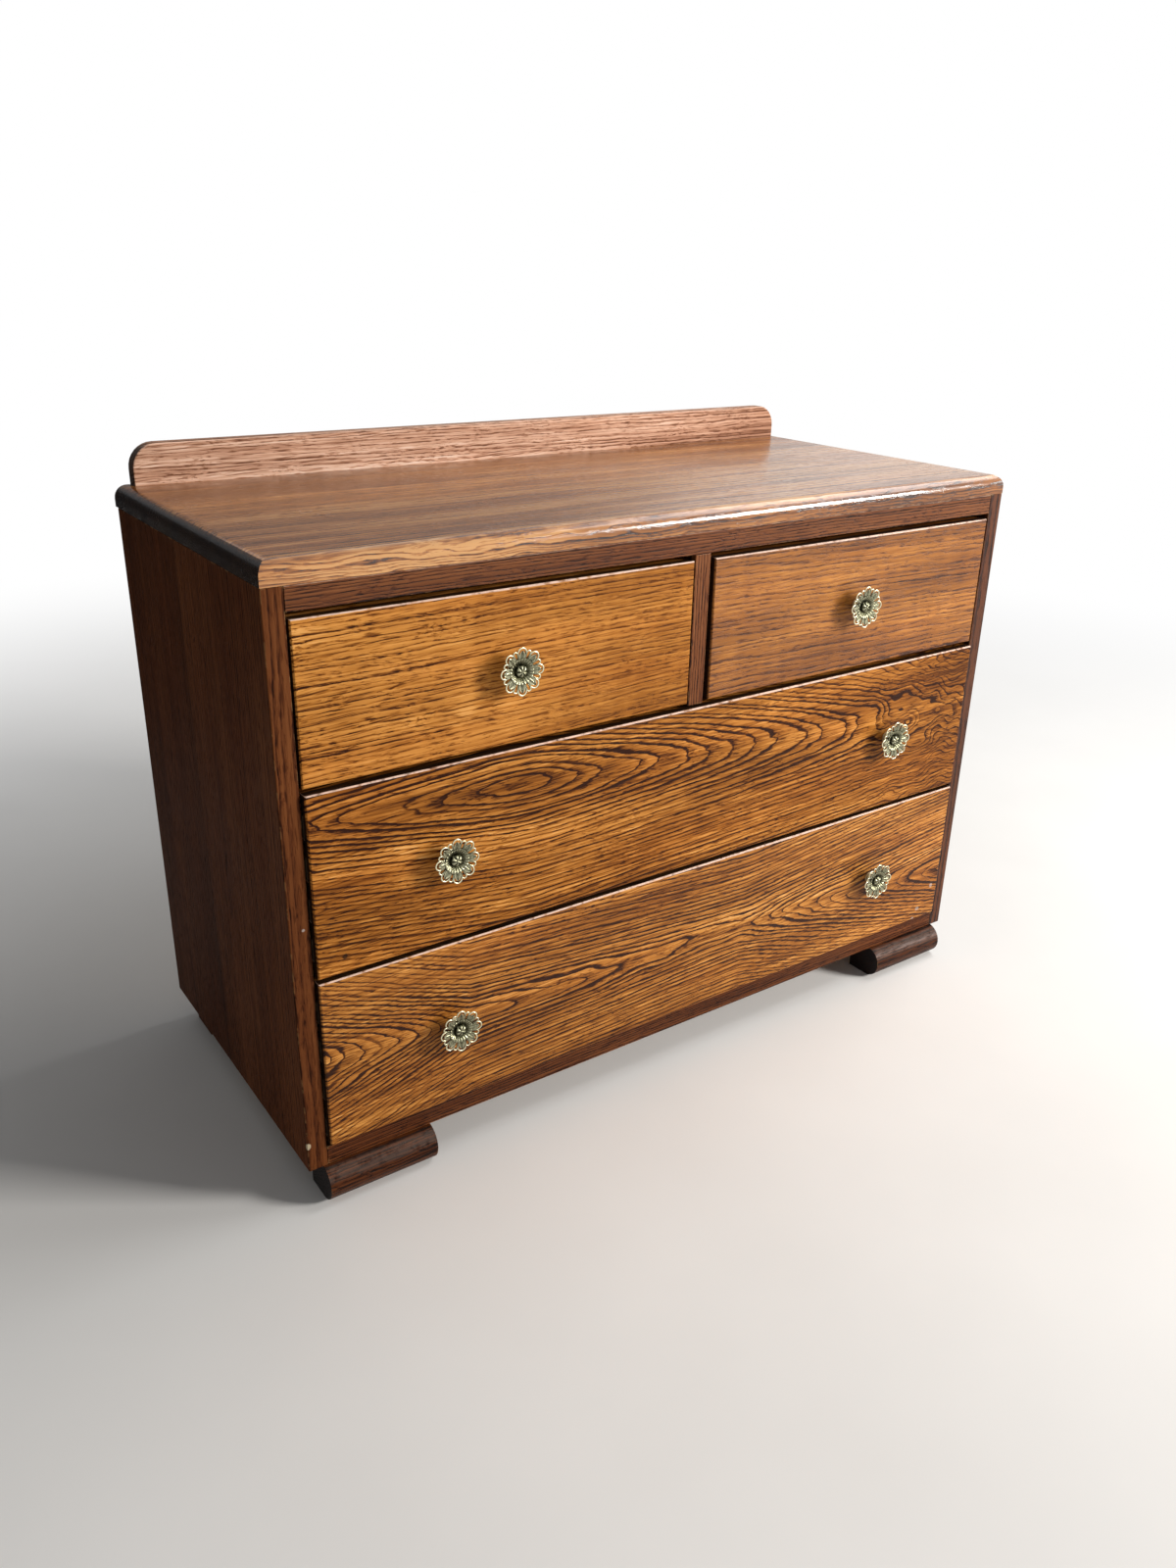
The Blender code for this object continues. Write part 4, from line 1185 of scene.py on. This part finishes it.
def make_fasteners():
    metal = brass("brass_fasteners")
    add_nuts(metal)
    for drawer in DRAWERS:
        low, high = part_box(f"{drawer}_back")
        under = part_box(f"{drawer}_bottom")[0].z
        spots = [(x, (low.y + high.y) / 2, under) for x in spaced(low.x, high.x)]
        add_pins(f"bottom_pins_{drawer}", metal, spots, (0.0, 0.0, -1.0), f"drawer_{drawer}")
    low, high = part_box("back_panel")
    columns = spaced(low.x, high.x)
    rows = spaced(low.z, high.z)
    spots = [(x, high.y, z) for x in columns for z in (rows[0], rows[-1])]
    spots += [(x, high.y, z) for z in rows[1:-1] for x in (columns[0], columns[-1])]
    add_pins("back_pins", metal, spots, (0.0, 1.0, 0.0), "carcass")


# Stage, light and camera

CAMERA_PLACE = (-0.7919, -1.1177, 0.8613)
CAMERA_TURN = (66.9635, -1.1439, -34.7964)
CAMERA_LENS = 28.2346
CAMERA_SENSOR = 36.0
SKY = 0.19  # light of the world on the object
FLOOR_DARK = (0.78, 0.77, 0.75)
FLOOR_PALE = (0.90, 0.89, 0.87)
FLOOR_HALF = 14.0
WHITE_FROM, WHITE_TO = 0.6, 2.6  # distances between which the floor turns white
CARDS = (
    # name, corners, strength
    ("card_behind", ((-2.5, 1.2, 0.45), (2.155, 1.2, 0.45), (-2.5, 1.2, 2.56)), 0.22),
    ("card_left", ((-4.0, 1.0, 0.0), (-0.48, 1.0, 0.0), (-0.48, 1.0, 0.8), (-4.0, 1.0, 1.8)), 0.02),
    ("card_far_left", ((-1.8, -1.0, 0.0), (-1.8, 1.0, 0.0), (-1.8, 1.0, 2.6), (-1.8, -1.0, 2.6)), 0.02),
)
CARD_DARK = (0.88, 0.92, 0.98)
CARD_PALE = (0.94, 0.97, 1.0)
LIGHTS = (
    # name, place, target, size, power, colour
    ("key", (2.3, -2.4, 1.5), (0.0, -0.1, 0.35), (0.8, 0.8), 130.0, (1.0, 0.97, 0.93)),
    ("overhead", (1.55, -0.30, 2.1), (0.1, -0.1, 0.5), (1.5, 1.1), 26.0, (1.0, 1.0, 1.0)),
)


def make_camera():
    camera = bpy.data.objects.new("camera", bpy.data.cameras.new("camera"))
    bpy.context.scene.collection.objects.link(camera)
    camera.location = CAMERA_PLACE
    camera.rotation_euler = Euler([math.radians(turn) for turn in CAMERA_TURN], "XYZ")
    camera.data.lens = CAMERA_LENS
    camera.data.sensor_width = CAMERA_SENSOR
    bpy.context.scene.camera = camera


def seen_ray(tree):
    """1 for what the camera sees, straight or in a reflection, and 0 for the light on the object."""
    path = tree.nodes.new("ShaderNodeLightPath")
    seen = path.outputs["Is Camera Ray"]
    for ray in ("Is Glossy Ray", "Is Transmission Ray"):
        join = tree.nodes.new("ShaderNodeMath")
        join.operation = "MAXIMUM"
        tree.links.new(seen, join.inputs[0])
        tree.links.new(path.outputs[ray], join.inputs[1])
        seen = join.outputs[0]
    return seen


def add_stage(name, mesh, material):
    mesh.materials.append(material)
    piece = bpy.data.objects.new(name, mesh)
    bpy.context.scene.collection.objects.link(piece)
    return piece


def make_floor():
    """A pale floor that turns white away from the dresser."""
    graph = Graph("pale_floor")
    x, y, z = graph.place()
    mottle = graph.noise(x * 3.0, y * 3.0, z, 4.0)
    colour = graph.ramp(mottle + 0.5, ((0.0, FLOOR_DARK), (1.0, FLOOR_PALE)))
    graph.set(Base_Color=colour, Roughness=0.85)
    white = graph.node("Emission")
    mix = graph.node("MixShader")
    far = (x.squared() + y.squared()).root().rise(WHITE_FROM, WHITE_TO)
    graph.feed(mix.inputs[0], far * Field(graph, seen_ray(graph.tree)))
    graph.feed(mix.inputs[1], graph.shader.outputs[0])
    graph.feed(mix.inputs[2], white.outputs[0])
    graph.feed(graph.tree.nodes["Material Output"].inputs["Surface"], mix.outputs[0])
    shape = bmesh.new()
    bmesh.ops.create_grid(shape, x_segments=1, y_segments=1, size=FLOOR_HALF)
    mesh = bpy.data.meshes.new("floor")
    shape.to_mesh(mesh)
    shape.free()
    add_stage("floor", mesh, graph.material)


def add_card(name, corners, glow):
    """A flat card that only reflections show."""
    graph = Graph(name)
    lamp = graph.node("Emission")
    x, y, z = graph.place()
    tint = graph.ramp(graph.noise(x, y, z) + 0.5, ((0.0, CARD_DARK), (1.0, CARD_PALE)))
    graph.feed(lamp.inputs["Color"], tint)
    graph.feed(lamp.inputs["Strength"], glow)
    graph.feed(graph.tree.nodes["Material Output"].inputs["Surface"], lamp.outputs[0])
    mesh = bpy.data.meshes.new(name)
    mesh.from_pydata(corners, [], [tuple(range(len(corners)))])
    card = add_stage(name, mesh, graph.material)
    card.visible_camera = False
    card.visible_diffuse = False
    card.visible_shadow = False


def make_cards():
    """The slanted edge of the first card ends the top's pale sheen. The others darken the left end."""
    for name, corners, glow in CARDS:
        add_card(name, corners, glow)


def make_world():
    """White to the camera and to reflections, and a softer light for everything else."""
    world = bpy.data.worlds.new("studio")
    bpy.context.scene.world = world
    world.use_nodes = True
    tree = world.node_tree
    background = tree.nodes["Background"]
    level = tree.nodes.new("ShaderNodeMapRange")
    level.inputs["To Min"].default_value = SKY
    level.inputs["To Max"].default_value = 1.0
    tree.links.new(seen_ray(tree), level.inputs["Value"])
    tree.links.new(level.outputs["Result"], background.inputs["Strength"])
    background.inputs["Color"].default_value = (1.0, 1.0, 1.0, 1.0)


def add_light(name, place, target, size, power, colour):
    data = bpy.data.lights.new(name, "AREA")
    data.shape = "RECTANGLE"
    data.size, data.size_y = size
    data.energy = power
    data.color = colour
    light = bpy.data.objects.new(name, data)
    bpy.context.scene.collection.objects.link(light)
    light.location = place
    light.rotation_euler = (Vector(target) - Vector(place)).to_track_quat("-Z", "Y").to_euler()


def make_lights():
    for light in LIGHTS:
        add_light(*light)


dress_boards()
dress_inside()
make_knobs()
make_fasteners()
make_floor()
make_cards()
make_world()
make_lights()
make_camera()
bpy.context.scene.view_settings.view_transform = "Standard"

bpy.context.view_layer.update()
